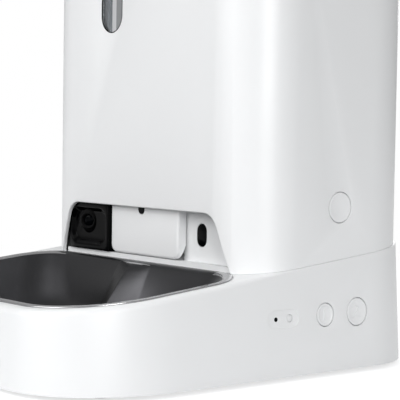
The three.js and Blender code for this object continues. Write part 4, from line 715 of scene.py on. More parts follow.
edit(base_casing)
shape = bmesh.from_edit_mesh(base_casing.data)
shape.normal_update()
weights = shape.edges.layers.float.new("bevel_weight_edge")
weighted = 0
for edge in shape.edges:
    ups = sorted(face.normal.z for face in edge.link_faces)
    place = mid(edge)
    at_deck = is_at(place.z, deck_at(place.y), CLOSE)
    if len(ups) == 2 and at_deck and ups[0] < 0.5 < ups[1]:
        share = min(max((FADE_TO - place.y) / (FADE_TO - FADE_FROM), 0), 1)
        share = share * share * (3 - 2 * share)
        edge[weights] = (NARROW_EDGE + (WIDE_EDGE - NARROW_EDGE) * share) / WIDE_EDGE
        weighted += 1
bmesh.update_edit_mesh(base_casing.data)
clear_selection()
modify(
    base_casing,
    "BEVEL",
    limit_method="WEIGHT",
    width=WIDE_EDGE * MM,
    segments=6,
    use_clamp_overlap=False,
)
print("rounded", weighted, "edges of the deck from", NARROW_EDGE, "to", WIDE_EDGE, "mm")

# %% Base casing: the bowl's seat and the bay under the tower
BOWL_HALF_WIDTH = 119.7
BOWL_FRONT = -148.1
BOWL_REAR = -8.7
BOWL_FRONT_CORNER = (59.4, 63.7)
BOWL_REAR_CORNER = 32.5
SEAT_FIT = 0.7
SEAT_DEPTH = 0.9
SEAT_LEDGE = 3.2
CUT_REACH = 8
BAY_LOW = (-98, 10.5, 60)
BAY_HIGH = (98, 124.5, 95)
BAY_CORNER = 12


def add_bowl_outline(name, inset, low, high):
    """A block in the bowl's plan, inset all round by that much."""
    return add_rounded_block(
        name,
        (-BOWL_HALF_WIDTH + inset, BOWL_FRONT + inset, low),
        (BOWL_HALF_WIDTH - inset, BOWL_REAR - inset, high),
        tuple(radius - inset for radius in BOWL_FRONT_CORNER),
        BOWL_REAR_CORNER - inset,
    )


seat = add_bowl_outline("seat_cutter", -SEAT_FIT, -SEAT_DEPTH, CUT_REACH)
seat.data.transform(ON_DECK)
hole = add_bowl_outline("hole_cutter", SEAT_LEDGE, -CUT_REACH, CUT_REACH)
hole.data.transform(ON_DECK)
bay = add_rounded_block(
    "bay_cutter", BAY_LOW, BAY_HIGH, (BAY_CORNER, BAY_CORNER), BAY_CORNER, segments=6
)
cut_away(base_casing, seat, hole, bay)
tell(base_casing)

# %% Base casing: holes for the controls and the power inlet
WALL_TILT = math.atan(BASE_LEAN)
CONTROL_HEIGHT = 41.8
WALL_X = BASE_HALF_WIDTH - BASE_LEAN * (CONTROL_HEIGHT - BASE_FOOT)
MICROPHONE_Y = 6.9
INDICATOR_Y = 19.2
FEED_BUTTONS = {"feed_button_1": (51.8, 7.6), "feed_button_2": (82.1, 9.35)}
BUTTON_FIT = 0.6
INSIDE = -6  # the cutters of round holes start this far behind the wall's face
DISH_LOW = (-6, -14, -0.5)
DISH_HIGH = (6, 14, 2)
INLET_LOW = (36.2, 145, 20.2)
INLET_HIGH = (51.8, 160, 31.8)


def on_side_wall(y):
    """A frame whose Z leaves the right wall at the controls' height, and whose Y runs rearwards."""
    return moved(WALL_X, y, CONTROL_HEIGHT) @ Matrix.Rotation(math.pi / 2 - WALL_TILT, 4, "Y")


dish = add_block("dish_cutter", DISH_LOW, DISH_HIGH)
soften(dish, 5.8, 10, lambda edge: runs(edge, 2))
soften(dish, 0.4, 2, lambda edge: folds(edge) and is_at(mid(edge).z, DISH_LOW[2]))
dish.data.transform(on_side_wall((MICROPHONE_Y + INDICATOR_Y) / 2))
rows = [(1.5, INSIDE), (1.5, -0.3), (1.75, 0.02), (1.75, 1)]
pinhole = add_turned("pinhole_cutter", rows, 24, on_side_wall(MICROPHONE_Y))
rows = [(2.6, INSIDE), (2.6, 1)]
lamp_hole = add_turned("lamp_cutter", rows, 32, on_side_wall(INDICATOR_Y))
cutters = [dish, pinhole, lamp_hole]
for y, radius in FEED_BUTTONS.values():
    fit = radius + BUTTON_FIT
    rows = [(fit, INSIDE), (fit, -0.35), (fit + 0.2, -0.16), (fit + 1.6, 0.02), (fit + 1.6, 2)]
    cutters.append(add_turned("button_cutter", rows, 64, on_side_wall(y)))
cutters.append(add_slot("inlet_cutter", INLET_LOW, INLET_HIGH, 1.5, 4))
cut_away(base_casing, *cutters)


def at_inlet(edge):
    """Whether an edge lies round the power inlet's hole in the rear wall."""
    place = mid(edge)
    return place.y > INLET_LOW[1] + 5 and INLET_LOW[2] - 1 < place.z < INLET_HIGH[2] + 1


soften(base_casing, 0.4, 2, lambda edge: folds(edge) and at_inlet(edge))
hand_over(base_casing, white_abs, "base_shell")

# %% [markdown]
# ## The tower casing
#
# The tower is a tall tube with a rounded plan, open at the top where the lid frame closes it and
# cut to the deck's slope below. Its corners are rounded first, because a bevel on a bare cube gives
# true arcs; then it gets its wall and the openings are cut, and last their edges are broken, as a
# moulding's edges always are.

# %% Tower casing: body
TOWER_HALF = 123.85
TOWER_REAR = 153.7
TOWER_TOP = 312
TOWER_FRONT_CORNER = 41.45
TOWER_REAR_CORNER = 57
TOWER_WALL = 2.8
BELOW_DECK = 50
SEAM = 0.16


def add_tower_block(name, low, high):
    """A block in the tower's plan."""
    return add_rounded_block(
        name,
        (-TOWER_HALF, FACE_Y, low),
        (TOWER_HALF, TOWER_REAR, high),
        (TOWER_FRONT_CORNER, TOWER_FRONT_CORNER),
        TOWER_REAR_CORNER,
        segments=32,
    )


tower_casing = add_tower_block("tower_casing", BELOW_DECK, TOWER_TOP)
edit(tower_casing)
cut_flat((0, 0, deck_at(0) + SEAM), DECK_NORMAL, clear_inner=True)
delete_faces(lambda face: abs(face.normal.z) > MOSTLY)
clear_selection()
thicken(tower_casing, TOWER_WALL)
tell(tower_casing)

# %% Tower casing: the front opening
OPENING_TOP = 109.2
OPENING_TOP_HALF = 83.34
OPENING_LOW = 55
OPENING_LOW_HALF = 104.16
RECESS_WALL = FACE_Y + 14

opening = add_block(
    "opening_cutter",
    (-OPENING_TOP_HALF, FACE_Y - 2, OPENING_LOW),
    (OPENING_TOP_HALF, RECESS_WALL, OPENING_TOP),
)
edit(opening)
pick("VERT", lambda corner: is_at(mid(corner).z, OPENING_LOW))
bpy.ops.transform.resize(
    value=(OPENING_LOW_HALF / OPENING_TOP_HALF, 1, 1), center_override=(0, 0, 0)
)
soften(opening, 9.2, 14, lambda edge: runs(edge, 1) and is_at(mid(edge).z, OPENING_TOP))
cut_away(tower_casing, opening)

# %% Tower casing: the window slot and the holes for the release buttons
WINDOW = (-46.3, -20.7, 233.9, 300)  # left, right, low and high
RELEASE_RADIUS = 10.25
RELEASE_PLACE = (66.0, 113.8)
ACROSS = 130  # far enough to pass both side walls
ALONG_X = Matrix.Rotation(math.pi / 2, 4, "Y")


def add_pane(name, outline, margin, front, back, segments, short=0.02):
    """A slot round a left, right, low and high; its ends are just short of half round."""
    left, right, low, high = outline
    return add_slot(
        name,
        (left - margin, front, low - margin),
        (right + margin, back, high + margin),
        (right - left) / 2 + margin - short,
        segments,
    )


slot = add_pane("window_cutter", WINDOW, 0, FACE_Y - 2, FACE_Y + 5, 20, short=0.01)
release_frame = moved(0, *RELEASE_PLACE) @ ALONG_X
rows = [(RELEASE_RADIUS + BUTTON_FIT, -ACROSS), (RELEASE_RADIUS + BUTTON_FIT, ACROSS)]
bore = add_turned("release_cutter", rows, 64, release_frame)
cut_away(tower_casing, slot, bore)


# %% Tower casing: broken edges
def depth_in_tower(place):
    """How far inside the tower's outer outline a place is."""
    at_front = place.y < (FACE_Y + TOWER_REAR) / 2
    corner = TOWER_FRONT_CORNER if at_front else TOWER_REAR_CORNER
    over_x = abs(place.x) - (TOWER_HALF - corner)
    over_y = FACE_Y + corner - place.y if at_front else place.y - (TOWER_REAR - corner)
    if over_x > 0 and over_y > 0:
        return corner - math.hypot(over_x, over_y)
    return corner - max(over_x, over_y)


def on_tower_face(edge):
    """Whether an edge is sharp and lies on the tower's outer face, away from its two rims."""
    place = mid(edge)
    at_seam = is_at(place.z, deck_at(place.y) + SEAM, CLOSE)
    on_face = all(is_at(depth_in_tower(mid(corner)), 0, CLOSE) for corner in edge.verts)
    return folds(edge) and on_face and not at_seam and place.z < TOWER_TOP - CLOSE


def in_opening(edge):
    """Whether an edge lies no higher than the front opening, and in front of the recess's wall."""
    return mid(edge).z < OPENING_TOP + 1 and mid(edge).y < RECESS_WALL


soften(tower_casing, 1.0, 4, lambda edge: on_tower_face(edge) and in_opening(edge))
soften(tower_casing, 0.4, 3, lambda edge: on_tower_face(edge) and not in_opening(edge))
hand_over(tower_casing, white_abs, "tower_shell")

# %% [markdown]
# ## The bowl
#
# The bowl is one drawn steel sheet: a flat flange, walls that run down to a smaller floor, and a
# ridge pressed down the middle of the rear wall. Its rim and floor are drawn as two outlines and
# the wall is bridged between them in rings. A loft of full sections would need the ridge in each of
# them. Here proportional editing pushes it out of the wall ring by ring, further the deeper the
# ring lies, as the press tool did, and a solidify gives the sheet its thickness.

# %% Bowl: rim and floor
BOWL_RISE = 0.8
BOWL_FLANGE = 5.4
BOWL_DEPTH = 34
BOWL_SHEET = 1.2
FLOOR_HALF_WIDTH = 85.7
FLOOR_FRONT = -104.1
FLOOR_REAR = -32.7
FLOOR_CORNER = 34
RIDGE_HALF = 20
RIDGE_COLUMNS = 16


def keep_top_only(piece):
    """Leaves only the top face of a slab, and leaves it open for editing."""
    edit(piece)
    delete_faces(lambda face: face.normal.z < MOSTLY)
    bpy.ops.mesh.select_all(action="SELECT")


bowl = add_bowl_outline("bowl_sheet", 0, BOWL_RISE - 1, BOWL_RISE)
keep_top_only(bowl)
bpy.ops.mesh.inset(thickness=BOWL_FLANGE * MM, depth=0)
bpy.ops.mesh.delete(type="FACE")
floor_sheet = add_rounded_block(
    "bowl_floor",
    (-FLOOR_HALF_WIDTH, FLOOR_FRONT, BOWL_RISE - BOWL_DEPTH - 1),
    (FLOOR_HALF_WIDTH, FLOOR_REAR, BOWL_RISE - BOWL_DEPTH),
    (FLOOR_CORNER, FLOOR_CORNER),
    FLOOR_CORNER,
)
keep_top_only(floor_sheet)
join_to(bowl, floor_sheet)
edit(bowl)
for step in range(RIDGE_COLUMNS + 1):
    cut_flat((RIDGE_HALF * (2 * step / RIDGE_COLUMNS - 1), 0, 0), (1, 0, 0))
print("cut rim and floor into columns for the ridge,", 2 * RIDGE_HALF / RIDGE_COLUMNS, "mm wide")

# %% Bowl: wall
BOWL_MIDDLE = Vector((0, -70, 0))
WALL_CUTS = 11


def beside_gap(edge):
    """Whether an open edge belongs to the flange's inner side or to the floor's outline."""
    if len(edge.link_faces) != 1:
        return False
    place = mid(edge)
    if place.z < BOWL_RISE - 1:
        return True
    away = mid(edge.link_faces[0]) - place
    return away.dot(BOWL_MIDDLE - place) < 0


count = pick("EDGE", beside_gap)
bpy.ops.mesh.bridge_edge_loops(number_cuts=WALL_CUTS, interpolation="LINEAR")
print("bridged", count, "edges")

# %% Bowl: the wall's curve
WALL_SHARES = (0, 0.3, 0.55, 0.78, 0.93, 1)
DEPTH_SHARES = (0, 0.3, 0.58, 0.84, 0.97, 1)


def depth_share(share):
    """How deep the wall is at a share of its way in, both from 0 to 1."""
    for i in range(1, len(WALL_SHARES)):
        if share <= WALL_SHARES[i]:
            part = (share - WALL_SHARES[i - 1]) / (WALL_SHARES[i] - WALL_SHARES[i - 1])
            return DEPTH_SHARES[i - 1] + part * (DEPTH_SHARES[i] - DEPTH_SHARES[i - 1])
    return 1


for ring in range(1, WALL_CUTS + 1):
    share = ring / (WALL_CUTS + 1)
    height = BOWL_RISE - share * BOWL_DEPTH
    drop = (depth_share(share) - share) * BOWL_DEPTH
    pick("VERT", lambda corner: is_at(mid(corner).z, height, CLOSE))
    bpy.ops.transform.translate(value=(0, 0, -drop * MM))
print("lowered", WALL_CUTS, "rings of the wall onto its curve")

# %% Bowl: the ridge
RIDGE_TOP = 4
RIDGE_FOOT = 17
REAR_WALL_FROM = -60


def on_ridge(item):
    """Whether a corner or edge lies in the middle of the rear wall, where the ridge's crest is."""
    x, y, z = mid(item)
    return abs(x) < 0.5 and y > REAR_WALL_FROM and z < BOWL_RISE - 1


for ring in range(1, WALL_CUTS + 2):
    share = ring / (WALL_CUTS + 1)
    height = BOWL_RISE - depth_share(share) * BOWL_DEPTH
    push = RIDGE_TOP + (RIDGE_FOOT - RIDGE_TOP) * share
    pick("VERT", lambda corner: is_at(mid(corner).z, height, CLOSE))
    bpy.ops.mesh.hide(unselected=True)
    pick("VERT", lambda corner: not corner.hide and on_ridge(corner))
    bpy.ops.transform.translate(
        value=(0, -push * MM, 0),
        use_proportional_edit=True,
        proportional_edit_falloff="LINEAR",
        proportional_size=RIDGE_HALF * MM,
    )
    bpy.ops.mesh.reveal(select=False)
soften(bowl, 0.8, 4, lambda edge: folds(edge, 25) and on_ridge(edge))

# %% Bowl: sheet and edges
edit(bowl)
bpy.ops.mesh.normals_make_consistent(inside=False)
shape = bmesh.from_edit_mesh(bowl.data)
shape.normal_update()
if min(shape.faces, key=lambda face: mid(face).z).normal.z < 0:
    bpy.ops.mesh.flip_normals()
soften(bowl, 2.2, 5, lambda edge: folds(edge, 8) and is_at(mid(edge).z, BOWL_RISE))
thicken(bowl, BOWL_SHEET)
soften(bowl, 0.5, 3, folds)
hand_over(bowl, dark_steel, "bowl", soft_to=65)

# %% Bowl: the flange's painted highlight, and its painted shade in the mouth
# The flange gets the lighter steel as a painted highlight, except in the opening's mouth, where it
# keeps the dark steel as painted shade for the recess's shade.
PAINTED_SHADE_TO_X = 60  # left of it the flange in the opening's mouth stays dark, in the recess's shade

bowl.data.materials.append(flange_highlight_steel)
for face in bowl.data.polygons:
    place = face.center / MM
    on_flange = place.z > BOWL_RISE - 0.9 * BOWL_SHEET and face.normal.z > -0.5
    in_painted_shade = place.y > FACE_Y - 1 and place.x < PAINTED_SHADE_TO_X
    if on_flange and not in_painted_shade:
        face.material_index = 1
print("polished", sum(face.material_index for face in bowl.data.polygons), "faces of the flange")
bowl.data.transform(ON_DECK)

# %% [markdown]
# ## The chute flap
#
# The flap is a thin hood that hangs on two pins in front of the chute: soft edges round its face, a
# larger radius at its lower corners, open behind and below. It is hollowed before its sides are cut
# to their slant, so that the cut shows the true thickness of the wall.

# %% Chute flap: hood
FLAP_HALF = 39.6
FLAP_FRONT = FACE_Y + 6
FLAP_BACK = FACE_Y + 13
FLAP_LOW = 74.5
FLAP_HIGH = 114.6
FLAP_WALL = 2.2
SCOOP_HIGH = 10
SCOOP_SLANT = 4.6

flap = add_block("flap_hood", (-FLAP_HALF, FLAP_FRONT, FLAP_LOW), (FLAP_HALF, FLAP_BACK, FLAP_HIGH))
soften(flap, 6, 8, lambda edge: runs(edge, 1) and is_at(mid(edge).z, FLAP_LOW))
edit(flap)
delete_faces(lambda face: face.normal.y > MOSTLY or face.normal.z < -MOSTLY)
clear_selection()
thicken(flap, FLAP_WALL)
scoop = add_block(
    "scoop_cutter",
    (-FLAP_HALF - 1, FLAP_FRONT + FLAP_WALL + 0.2, FLAP_LOW - 1),
    (FLAP_HALF + 1, FLAP_BACK + 1, FLAP_LOW + SCOOP_HIGH),
)
edit(scoop)
pick("VERT", lambda corner: mid(corner).z > FLAP_LOW and mid(corner).y < FLAP_BACK)
bpy.ops.transform.translate(value=(0, SCOOP_SLANT * MM, 0))
clear_selection()
cut_away(flap, scoop)
soften(flap, 1.9, 5, lambda edge: folds(edge) and is_at(mid(edge).y, FLAP_FRONT))

# %% Chute flap: its sensor and its pins
SENSOR_PLACE = (-3, FLAP_FRONT, 107.6)
FLAP_PIVOT = (FACE_Y + 9, 112.6)
PIN_RADIUS = 1.5
PIN_ROOT = -0.3
PIN_REACH = 2.2
PIN_EDGE = 0.3

sensor_frame = moved(*SENSOR_PLACE) @ Matrix.Rotation(math.pi / 2, 4, "X")
rows = [(3.8, -1.5), (3.8, -0.25), (4.1, 0.1), (4.1, 1)]
cut_away(flap, add_turned("sensor_cutter", rows, 48, sensor_frame))
pivot = moved(0, *FLAP_PIVOT) @ ALONG_X
for side in (-1, 1):
    start, end = sorted((side * (FLAP_HALF + PIN_ROOT), side * (FLAP_HALF + PIN_REACH)))
    join_to(flap, add_turned("flap_pin", rod_rows(PIN_RADIUS, start, end, PIN_EDGE), 24, pivot))
hand_over(flap, white_abs, "chute_flap")
rows = [(3.5, -1.2), (3.5, -0.1), (3.35, 0.12), (3.0, 0.2), (1.5, 0.2)]
flap_window = add_turned("flap_sensor_disc", rows, 48, sensor_frame)
hand_over(flap_window, black_acrylic, "flap_sensor_window")

# %% [markdown]
# ## The camera
#
# The camera sits in a gloss black bezel with a dished front. A gloss black shape is seen only by
# what it mirrors, so its edges matter more than its faces: each rim of the dish has a small round
# edge that catches one thin line of light. The cutter of the dish is a block that narrows inwards.

# %% Camera: bezel
BEZEL_OUTER = -92.6
BEZEL_INNER = -40.5
BEZEL_FLAT = -82.4
BEZEL_HALFWAY = (BEZEL_OUTER + BEZEL_FLAT) / 2
BEZEL_FRONT = FACE_Y + 3.6
BEZEL_BACK = FACE_Y + 13.6
BEZEL_LOW = 74.4
BEZEL_HIGH = 109.3
FLANK_MOVES = {BEZEL_OUTER: 1.6, BEZEL_HALFWAY: 0.53}

bezel = add_block(
    "bezel", (BEZEL_OUTER, BEZEL_FRONT, BEZEL_LOW), (BEZEL_INNER, BEZEL_BACK, BEZEL_HIGH)
)
edit(bezel)
for x in (BEZEL_FLAT, BEZEL_HALFWAY):
    cut_flat((x, 0, 0), (1, 0, 0))
for x, move in FLANK_MOVES.items():
    pick("VERT", lambda corner: is_at(mid(corner).x, x) and is_at(mid(corner).y, BEZEL_FRONT))
    bpy.ops.transform.translate(value=(0, move * MM, 0))
clear_selection()
tell(bezel)

# %% Camera: the bezel's dish and its edges
MOUTH_LEFT, MOUTH_RIGHT = -89.4, -42.4
MOUTH_LOW, MOUTH_HIGH = 77.2, 106.6
MOUTH_DEPTH = 3.6
DISH_FLOOR = (40.5, 21.2)
DISH_SHIFT = (-0.35, 0, 0.1)

dish = add_slot(
    "dish_cutter",
    (MOUTH_LEFT, BEZEL_FRONT - 1, MOUTH_LOW),
    (MOUTH_RIGHT, BEZEL_FRONT + MOUTH_DEPTH, MOUTH_HIGH),
    9,
    10,
)
edit(dish)
pick("FACE", lambda face: face.normal.y > MOSTLY)
shares = (DISH_FLOOR[0] / (MOUTH_RIGHT - MOUTH_LEFT), 1, DISH_FLOOR[1] / (MOUTH_HIGH - MOUTH_LOW))
middle = Vector(((MOUTH_LEFT + MOUTH_RIGHT) / 2, 0, (MOUTH_LOW + MOUTH_HIGH) / 2))
bpy.ops.transform.resize(value=shares, center_override=middle * MM)
bpy.ops.transform.translate(value=Vector(DISH_SHIFT) * MM)
clear_selection()
cut_away(bezel, dish)


def in_dish(edge):
    """Whether an edge of the bezel's front lies a millimetre or more inside its outline."""
    x, y, z = mid(edge)
    between_sides = BEZEL_OUTER + 1 < x < BEZEL_INNER - 1
    return y < BEZEL_BACK - 1 and between_sides and BEZEL_LOW + 1 < z < BEZEL_HIGH - 1


def on_outline(edge):
    """Whether an edge lies at the bezel's front, on one of its four sides."""
    x, y, z = mid(edge)
    on_side = is_at(x, BEZEL_OUTER) or is_at(x, BEZEL_INNER)
    return y < BEZEL_FRONT + 4 and (on_side or is_at(z, BEZEL_LOW) or is_at(z, BEZEL_HIGH))


soften(bezel, 0.7, 4, lambda edge: folds(edge, 25) and in_dish(edge))
soften(bezel, 0.5, 3, lambda edge: folds(edge) and on_outline(edge))

# %% Camera: barrel and lens
LENS_PLACE = (-69.6, FACE_Y + 6.2, 95.4)
LENS_TURN = math.radians(25)
LENS_PITCH = math.radians(95)
CROWN_RADIUS = 4.0
CROWN_LOW = -1.6
CROWN_RISE = 1.1
CROWN_STEPS = 6

lens_frame = moved(*LENS_PLACE) @ Matrix.Rotation(LENS_TURN, 4, "Z")
lens_frame = lens_frame @ Matrix.Rotation(LENS_PITCH, 4, "X")
rows = [(6.4, -13), (6.4, -4.1), (8.9, -4.1), (8.9, -2), (9.3, -1.5), (9.3, 4)]
cut_away(bezel, add_turned("barrel_cutter", rows, 64, lens_frame))
hand_over(bezel, black_acrylic, "camera_bezel", soft_to=30)
rows = [
    (5.8, -12), (6.1, -11.7), (6.1, -3.8), (8.4, -3.8), (8.6, -3.6), (8.6, -2.4), (8.4, -2.2),
    (7.6, -1.9), (6.6, -1.3), (6.1, -0.9), (6.1, -0.25), (5.95, -0.08), (5.7, 0), (5.3, 0),
    (5.1, -0.1), (5.0, -0.5), (4.75, -0.6), (4.7, -0.95), (4.45, -1.05), (4.3, -1.6), (4.3, -4.6),
]
barrel = add_turned("barrel", rows, 64, lens_frame)
hand_over(barrel, black_abs, "camera_barrel", soft_to=30)
rows = [(CROWN_RADIUS, -4.2)]
for step in range(CROWN_STEPS):
    turn = math.pi / 2 * step / CROWN_STEPS
    rows.append((CROWN_RADIUS * math.cos(turn), CROWN_LOW + CROWN_RISE * math.sin(turn)))
lens = add_turned("lens", [*rows, (0.4, CROWN_LOW + CROWN_RISE)], 64, lens_frame)
hand_over(lens, coated_glass, "camera_lens", soft_to=40)

# %% [markdown]
# ## Sensor window and level window
#
# Both are clear or dark panes pressed into a slot from behind, so each has a face that stands in
# the slot and a wider flange behind the wall. The panes have a soft rim; without one a pane in a
# wall looks like a painted patch. A thin black seal holds the level window. What stands behind it,
# the wall between the stores and the frosted side of the narrow one, could be modelled there, but
# little light gets in, so it is drawn as bands on the pane's front.

# %% Pill-shaped sensor window
PILL = (51, 61, 84.7, 100.5)
PILL_FRONT = RECESS_WALL - 0.2

pill = add_pane("pill_pane", PILL, 0, PILL_FRONT, RECESS_WALL + 2.8, 14)
soften(pill, 0.5, 3, lambda edge: folds(edge) and is_at(mid(edge).y, PILL_FRONT))
pill_back = (RECESS_WALL + 2.7, RECESS_WALL + 3.7)
join_to(pill, add_pane("pill_flange", PILL, 1.6, *pill_back, 14, short=0.1))
hand_over(pill, black_acrylic, "food_sensor_window")

# %% Level window: pane
PANE_FRONT = FACE_Y + 0.5
PANE_BACK = FACE_Y + 3.1

pane = add_pane("window_pane", WINDOW, -0.3, PANE_FRONT, PANE_BACK, 20)
soften(pane, 0.9, 4, lambda edge: folds(edge) and is_at(mid(edge).y, PANE_FRONT))
weld(pane, add_pane("window_flange", WINDOW, 2.2, PANE_BACK, PANE_BACK + 1, 20))
tell(pane)

# %% Level window: its seal, and the bands the stores show through it
SEAL_WIDTH = 0.7
BAND_FROM = -33.2
BAND_TO = -28.4

edit(pane)
for x in (BAND_FROM, BAND_TO):
    cut_flat((x, 0, 0), (1, 0, 0))
seal = add_pane("window_seal", WINDOW, -0.02, FACE_Y + 0.2, FACE_Y + 1, 20)
cut_away(seal, add_pane("seal_cutter", WINDOW, -SEAL_WIDTH, FACE_Y - 1, FACE_Y + 4, 20))
seal_from = len(pane.data.polygons)
join_to(pane, seal)
hand_over(pane, clear_polycarbonate, "level_window")
for coat in (black_abs, pale_polycarbonate, frosted_polycarbonate):
    pane.data.materials.append(coat)
for face in pane.data.polygons:
    place = face.center / MM
    if face.index >= seal_from:
        face.material_index = 1
    elif face.normal.y < -MOSTLY and place.y < FACE_Y + 1 and place.x > BAND_FROM:
        face.material_index = 2 if place.x < BAND_TO else 3
used = [face.material_index for face in pane.data.polygons]
print("the seal has", used.count(1), "faces, the bands", used.count(2), "and", used.count(3))

# %% [markdown]
# ## Buttons
#
# The feed buttons and the release buttons are the same kind of cap at three sizes: a shallow dished
# face, a fine round edge, and a flange behind the wall that stops it falling out. They are turned
# from the centre outwards, and the numerals are built-in text that is raised and joined to the cap.

# %% Feed buttons
STEM_ROWS = [(2.2, -6.7), (2.4, -6.5), (2.4, -4.5)]
FLANGE_REACH = 1.6
FLANGE_TOP = -3.1
NUMERAL_HEIGHT = 0.7
NUMERAL_MIDDLE = -0.75
NUMERAL_SIZE = 1.45


def cap_rows(radius, face):
    """The dished cap of a button from its side to near its middle, as rows of (radius, height)."""
    return [
        (radius, face - 0.5), (radius - 0.12, face - 0.2), (radius - 0.4, face - 0.04),
        (radius - 0.8, face), (radius - 1.3, face - 0.06), (0.78 * radius, face - 0.4),
        (0.6 * radius, face - 0.7), (0.4 * radius, face - 0.92), (0.2 * radius, face - 1.05),
        (0.05 * radius, face - 1.1),
    ]


for name, (y, radius) in FEED_BUTTONS.items():
    reach = radius + FLANGE_REACH
    rows = [*STEM_ROWS, (reach, STEM_ROWS[-1][1]), (reach, FLANGE_TOP), (radius, FLANGE_TOP)]
    cap = add_turned(name + "_cap", rows + cap_rows(radius, 0), 64, on_side_wall(y))
    clear_selection()
    bpy.ops.object.text_add(location=(0, 0, 0))
    numeral = bpy.context.object
    numeral.data.body = name[-1]
    numeral.data.size = NUMERAL_SIZE * radius * MM
    numeral.data.align_x = "CENTER"
    numeral.data.align_y = "CENTER"
    numeral.data.extrude = NUMERAL_HEIGHT / 2 * MM
    take(numeral)
    bpy.ops.object.convert(target="MESH")
    numeral = bpy.context.object
    merge_corners(numeral)
    upright = moved(0, 0, NUMERAL_MIDDLE) @ Matrix.Rotation(math.pi / 2, 4, "Z")
    numeral.data.transform(on_side_wall(y) @ upright)
    join_to(cap, numeral)
    hand_over(cap, white_abs, name)

# %% Release buttons
RELEASE_FLANGE = 12.25
RELEASE_BACK = 118.75
RELEASE_STOP = 120.75
TONGUE_FROM, TONGUE_TO = 116.85, 119.05
TONGUE_HALF = 5
TONGUE_LOW = 86.0

rows = [
    (RELEASE_FLANGE - 0.35, RELEASE_BACK), (RELEASE_FLANGE, RELEASE_BACK + 0.3),
    (RELEASE_FLANGE, RELEASE_STOP), (RELEASE_RADIUS, RELEASE_STOP),
    *cap_rows(RELEASE_RADIUS, TOWER_HALF),
]
release = add_turned("release_cap_right", rows, 64, release_frame)
release_y, release_z = RELEASE_PLACE
tongue = add_block(
    "tongue",
    (TONGUE_FROM, release_y - TONGUE_HALF, TONGUE_LOW),
    (TONGUE_TO, release_y + TONGUE_HALF, release_z),
)
soften(tongue, 0.5, 3, lambda edge: runs(edge, 2))
join_to(release, tongue)
release_left = copy_of(release, "release_cap_left")
release_left.data.transform(Matrix.Scale(-1, 4, (1, 0, 0)))
edit(release_left)
bpy.ops.mesh.flip_normals()
clear_selection()
hand_over(release, white_abs, "release_button_right")
hand_over(release_left, white_abs, "release_button_left")

# %% Indicator lens, and a black gauze in the microphone's hole, whose black also paints the hole's shade
rows = [(2.3, -6.4), (2.3, -0.75), (2.15, -0.5), (1.8, -0.38), (1.2, -0.3), (0.4, -0.28)]
indicator = add_turned("indicator_dome", rows, 32, on_side_wall(INDICATOR_Y))
hand_over(indicator, milky_polycarbonate, "indicator_lens")
# The black gauze sits just behind the hole's mouth, so its black also stands in as painted shade
# inside the hole.
rows = [(1.52, -1.6), (1.52, -0.45), (1.4, -0.34), (0.9, -0.3), (0.2, -0.28)]
gauze = add_turned("microphone_gauze", rows, 24, on_side_wall(MICROPHONE_Y))
dress(gauze, black_abs, BODY_OF["base_shell"], soft_to=40)

# %% [markdown]
# ## The lid and its hinge
#
# The lid carries on the tower's plan and rolls over into its top with a 5 mm edge. It is rounded as
# a whole block, cut off square in front of the hinge, hollowed from below, and joined to a bridge
# and the barrel that turns on the hinge pin.

# %% Lid
LID_LOW = 317.3
LID_TOP = 330
LID_REAR = FACE_Y + 143.7
LID_WALL = 2.4
TOP_EDGE = 5
LATCH_HALF = 18
LATCH_LOW, LATCH_HIGH = 320.4, 324.6
LATCH_FIT = 0.4

lid = add_tower_block("lid_casing", LID_LOW, LID_TOP)
soften(lid, TOP_EDGE, 8, lambda edge: folds(edge) and is_at(mid(edge).z, LID_TOP))
edit(lid)
cut_flat((0, LID_REAR, 0), (0, 1, 0), use_fill=True, clear_outer=True)
delete_faces(lambda face: face.normal.z < -MOSTLY)
clear_selection()
thicken(lid, LID_WALL)
latch_hole = add_slot(
    "latch_cutter",
    (-LATCH_HALF - LATCH_FIT, FACE_Y - 1, LATCH_LOW - LATCH_FIT),
    (LATCH_HALF + LATCH_FIT, FACE_Y + 3.4, LATCH_HIGH + LATCH_FIT),
    1.0,
    4,
)
cut_away(lid, latch_hole)


def at_latch(edge):
    """Whether an edge of the lid's face lies round the latch's hole."""
    return is_at(mid(edge).y, FACE_Y) and LATCH_LOW - 1 < mid(edge).z < LATCH_HIGH + 1


soften(lid, 0.3, 2, lambda edge: folds(edge) and at_latch(edge))

# %% Lid: its hinge
HINGE_PLACE = (FACE_Y + 150, 324)
BARREL_RADIUS = 6
BARREL_EDGE = 0.4
BARREL_HALF = 90
BRIDGE_HALF = BARREL_HALF - 0.2
PIN_BORE = 2.35

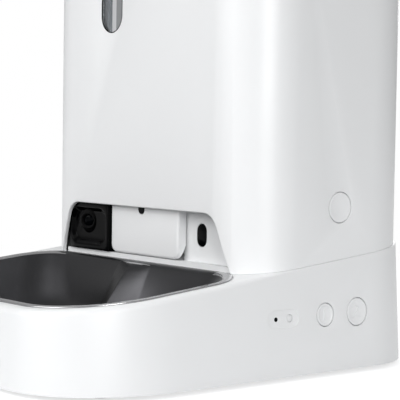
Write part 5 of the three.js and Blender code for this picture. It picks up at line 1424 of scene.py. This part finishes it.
lid_bridge = add_block(
    "lid_bridge",
    (-BRIDGE_HALF, LID_REAR - 0.5 * LID_WALL, LID_TOP - LID_WALL - 0.1),
    (BRIDGE_HALF, HINGE_PLACE[0], LID_TOP - 0.15),
)
hinge_frame = moved(0, *HINGE_PLACE) @ ALONG_X
rows = rod_rows(BARREL_RADIUS, -BARREL_HALF, BARREL_HALF, BARREL_EDGE)
weld(lid, lid_bridge, add_turned("lid_barrel", rows, 48, hinge_frame))
rows = [(PIN_BORE, -BARREL_HALF - 5), (PIN_BORE, BARREL_HALF + 5)]
cut_away(lid, add_turned("pin_cutter", rows, 32, hinge_frame))
hand_over(lid, white_abs, "lid")

# %% Latch of the lid
latch = add_slot(
    "latch_bar", (-LATCH_HALF, FACE_Y, LATCH_LOW), (LATCH_HALF, FACE_Y + 3, LATCH_HIGH), 0.8, 4
)
soften(latch, 0.4, 3, lambda edge: folds(edge) and is_at(mid(edge).y, FACE_Y))
latch_flange = add_block(
    "latch_flange",
    (-LATCH_HALF - 1.4, FACE_Y + 2.7, LATCH_LOW - LATCH_FIT),
    (LATCH_HALF + 1.4, FACE_Y + 4.1, LATCH_HIGH + LATCH_FIT),
)
join_to(latch, latch_flange)
hand_over(latch, white_abs, "lid_latch")

# %% [markdown]
# ## Feet and pieces with a CAD shape that only lacks smoothness
#
# The feet are turned like the buttons, each at its own place. The lid's frame and the hoppers
# already have their form in CAD, but as loose triangles with flat shading: a copy of each is
# merged, so that its curved walls can be shaded smooth, and stands in for its node.

# %% Feet
FOOT_ROWS = [(8.2, 0.35), (8.9, 0), (9.4, 0.08), (9.85, 0.4), (10, 0.9), (10, 3.1)]
FOOT_PLACES = {
    "foot_front_right": (96, -112),
    "foot_front_left": (-96, -112),
    "foot_rear_right": (92, 118),
    "foot_rear_left": (-92, 118),
}
for name, (x, y) in FOOT_PLACES.items():
    foot = add_turned(name + "_pad", FOOT_ROWS, 48, moved(x, y, 0))
    hand_over(foot, grey_rubber, name)

# %% Smooth copies
SMOOTH_COPIES = {
    "top_frame": white_abs,
    "hopper_left": smoky_polycarbonate,
    "hopper_right": smoky_polycarbonate,
}
for node, material in SMOOTH_COPIES.items():
    copy = copy_of(frame["nodes"][node], node + "_smooth")
    copy.parent = None
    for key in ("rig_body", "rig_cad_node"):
        if key in copy:
            del copy[key]
    merge_corners(copy)
    edit(copy)
    bpy.ops.mesh.dissolve_limited(angle_limit=math.radians(0.5))
    clear_selection()
    hand_over(copy, material, node, soft_to=32)
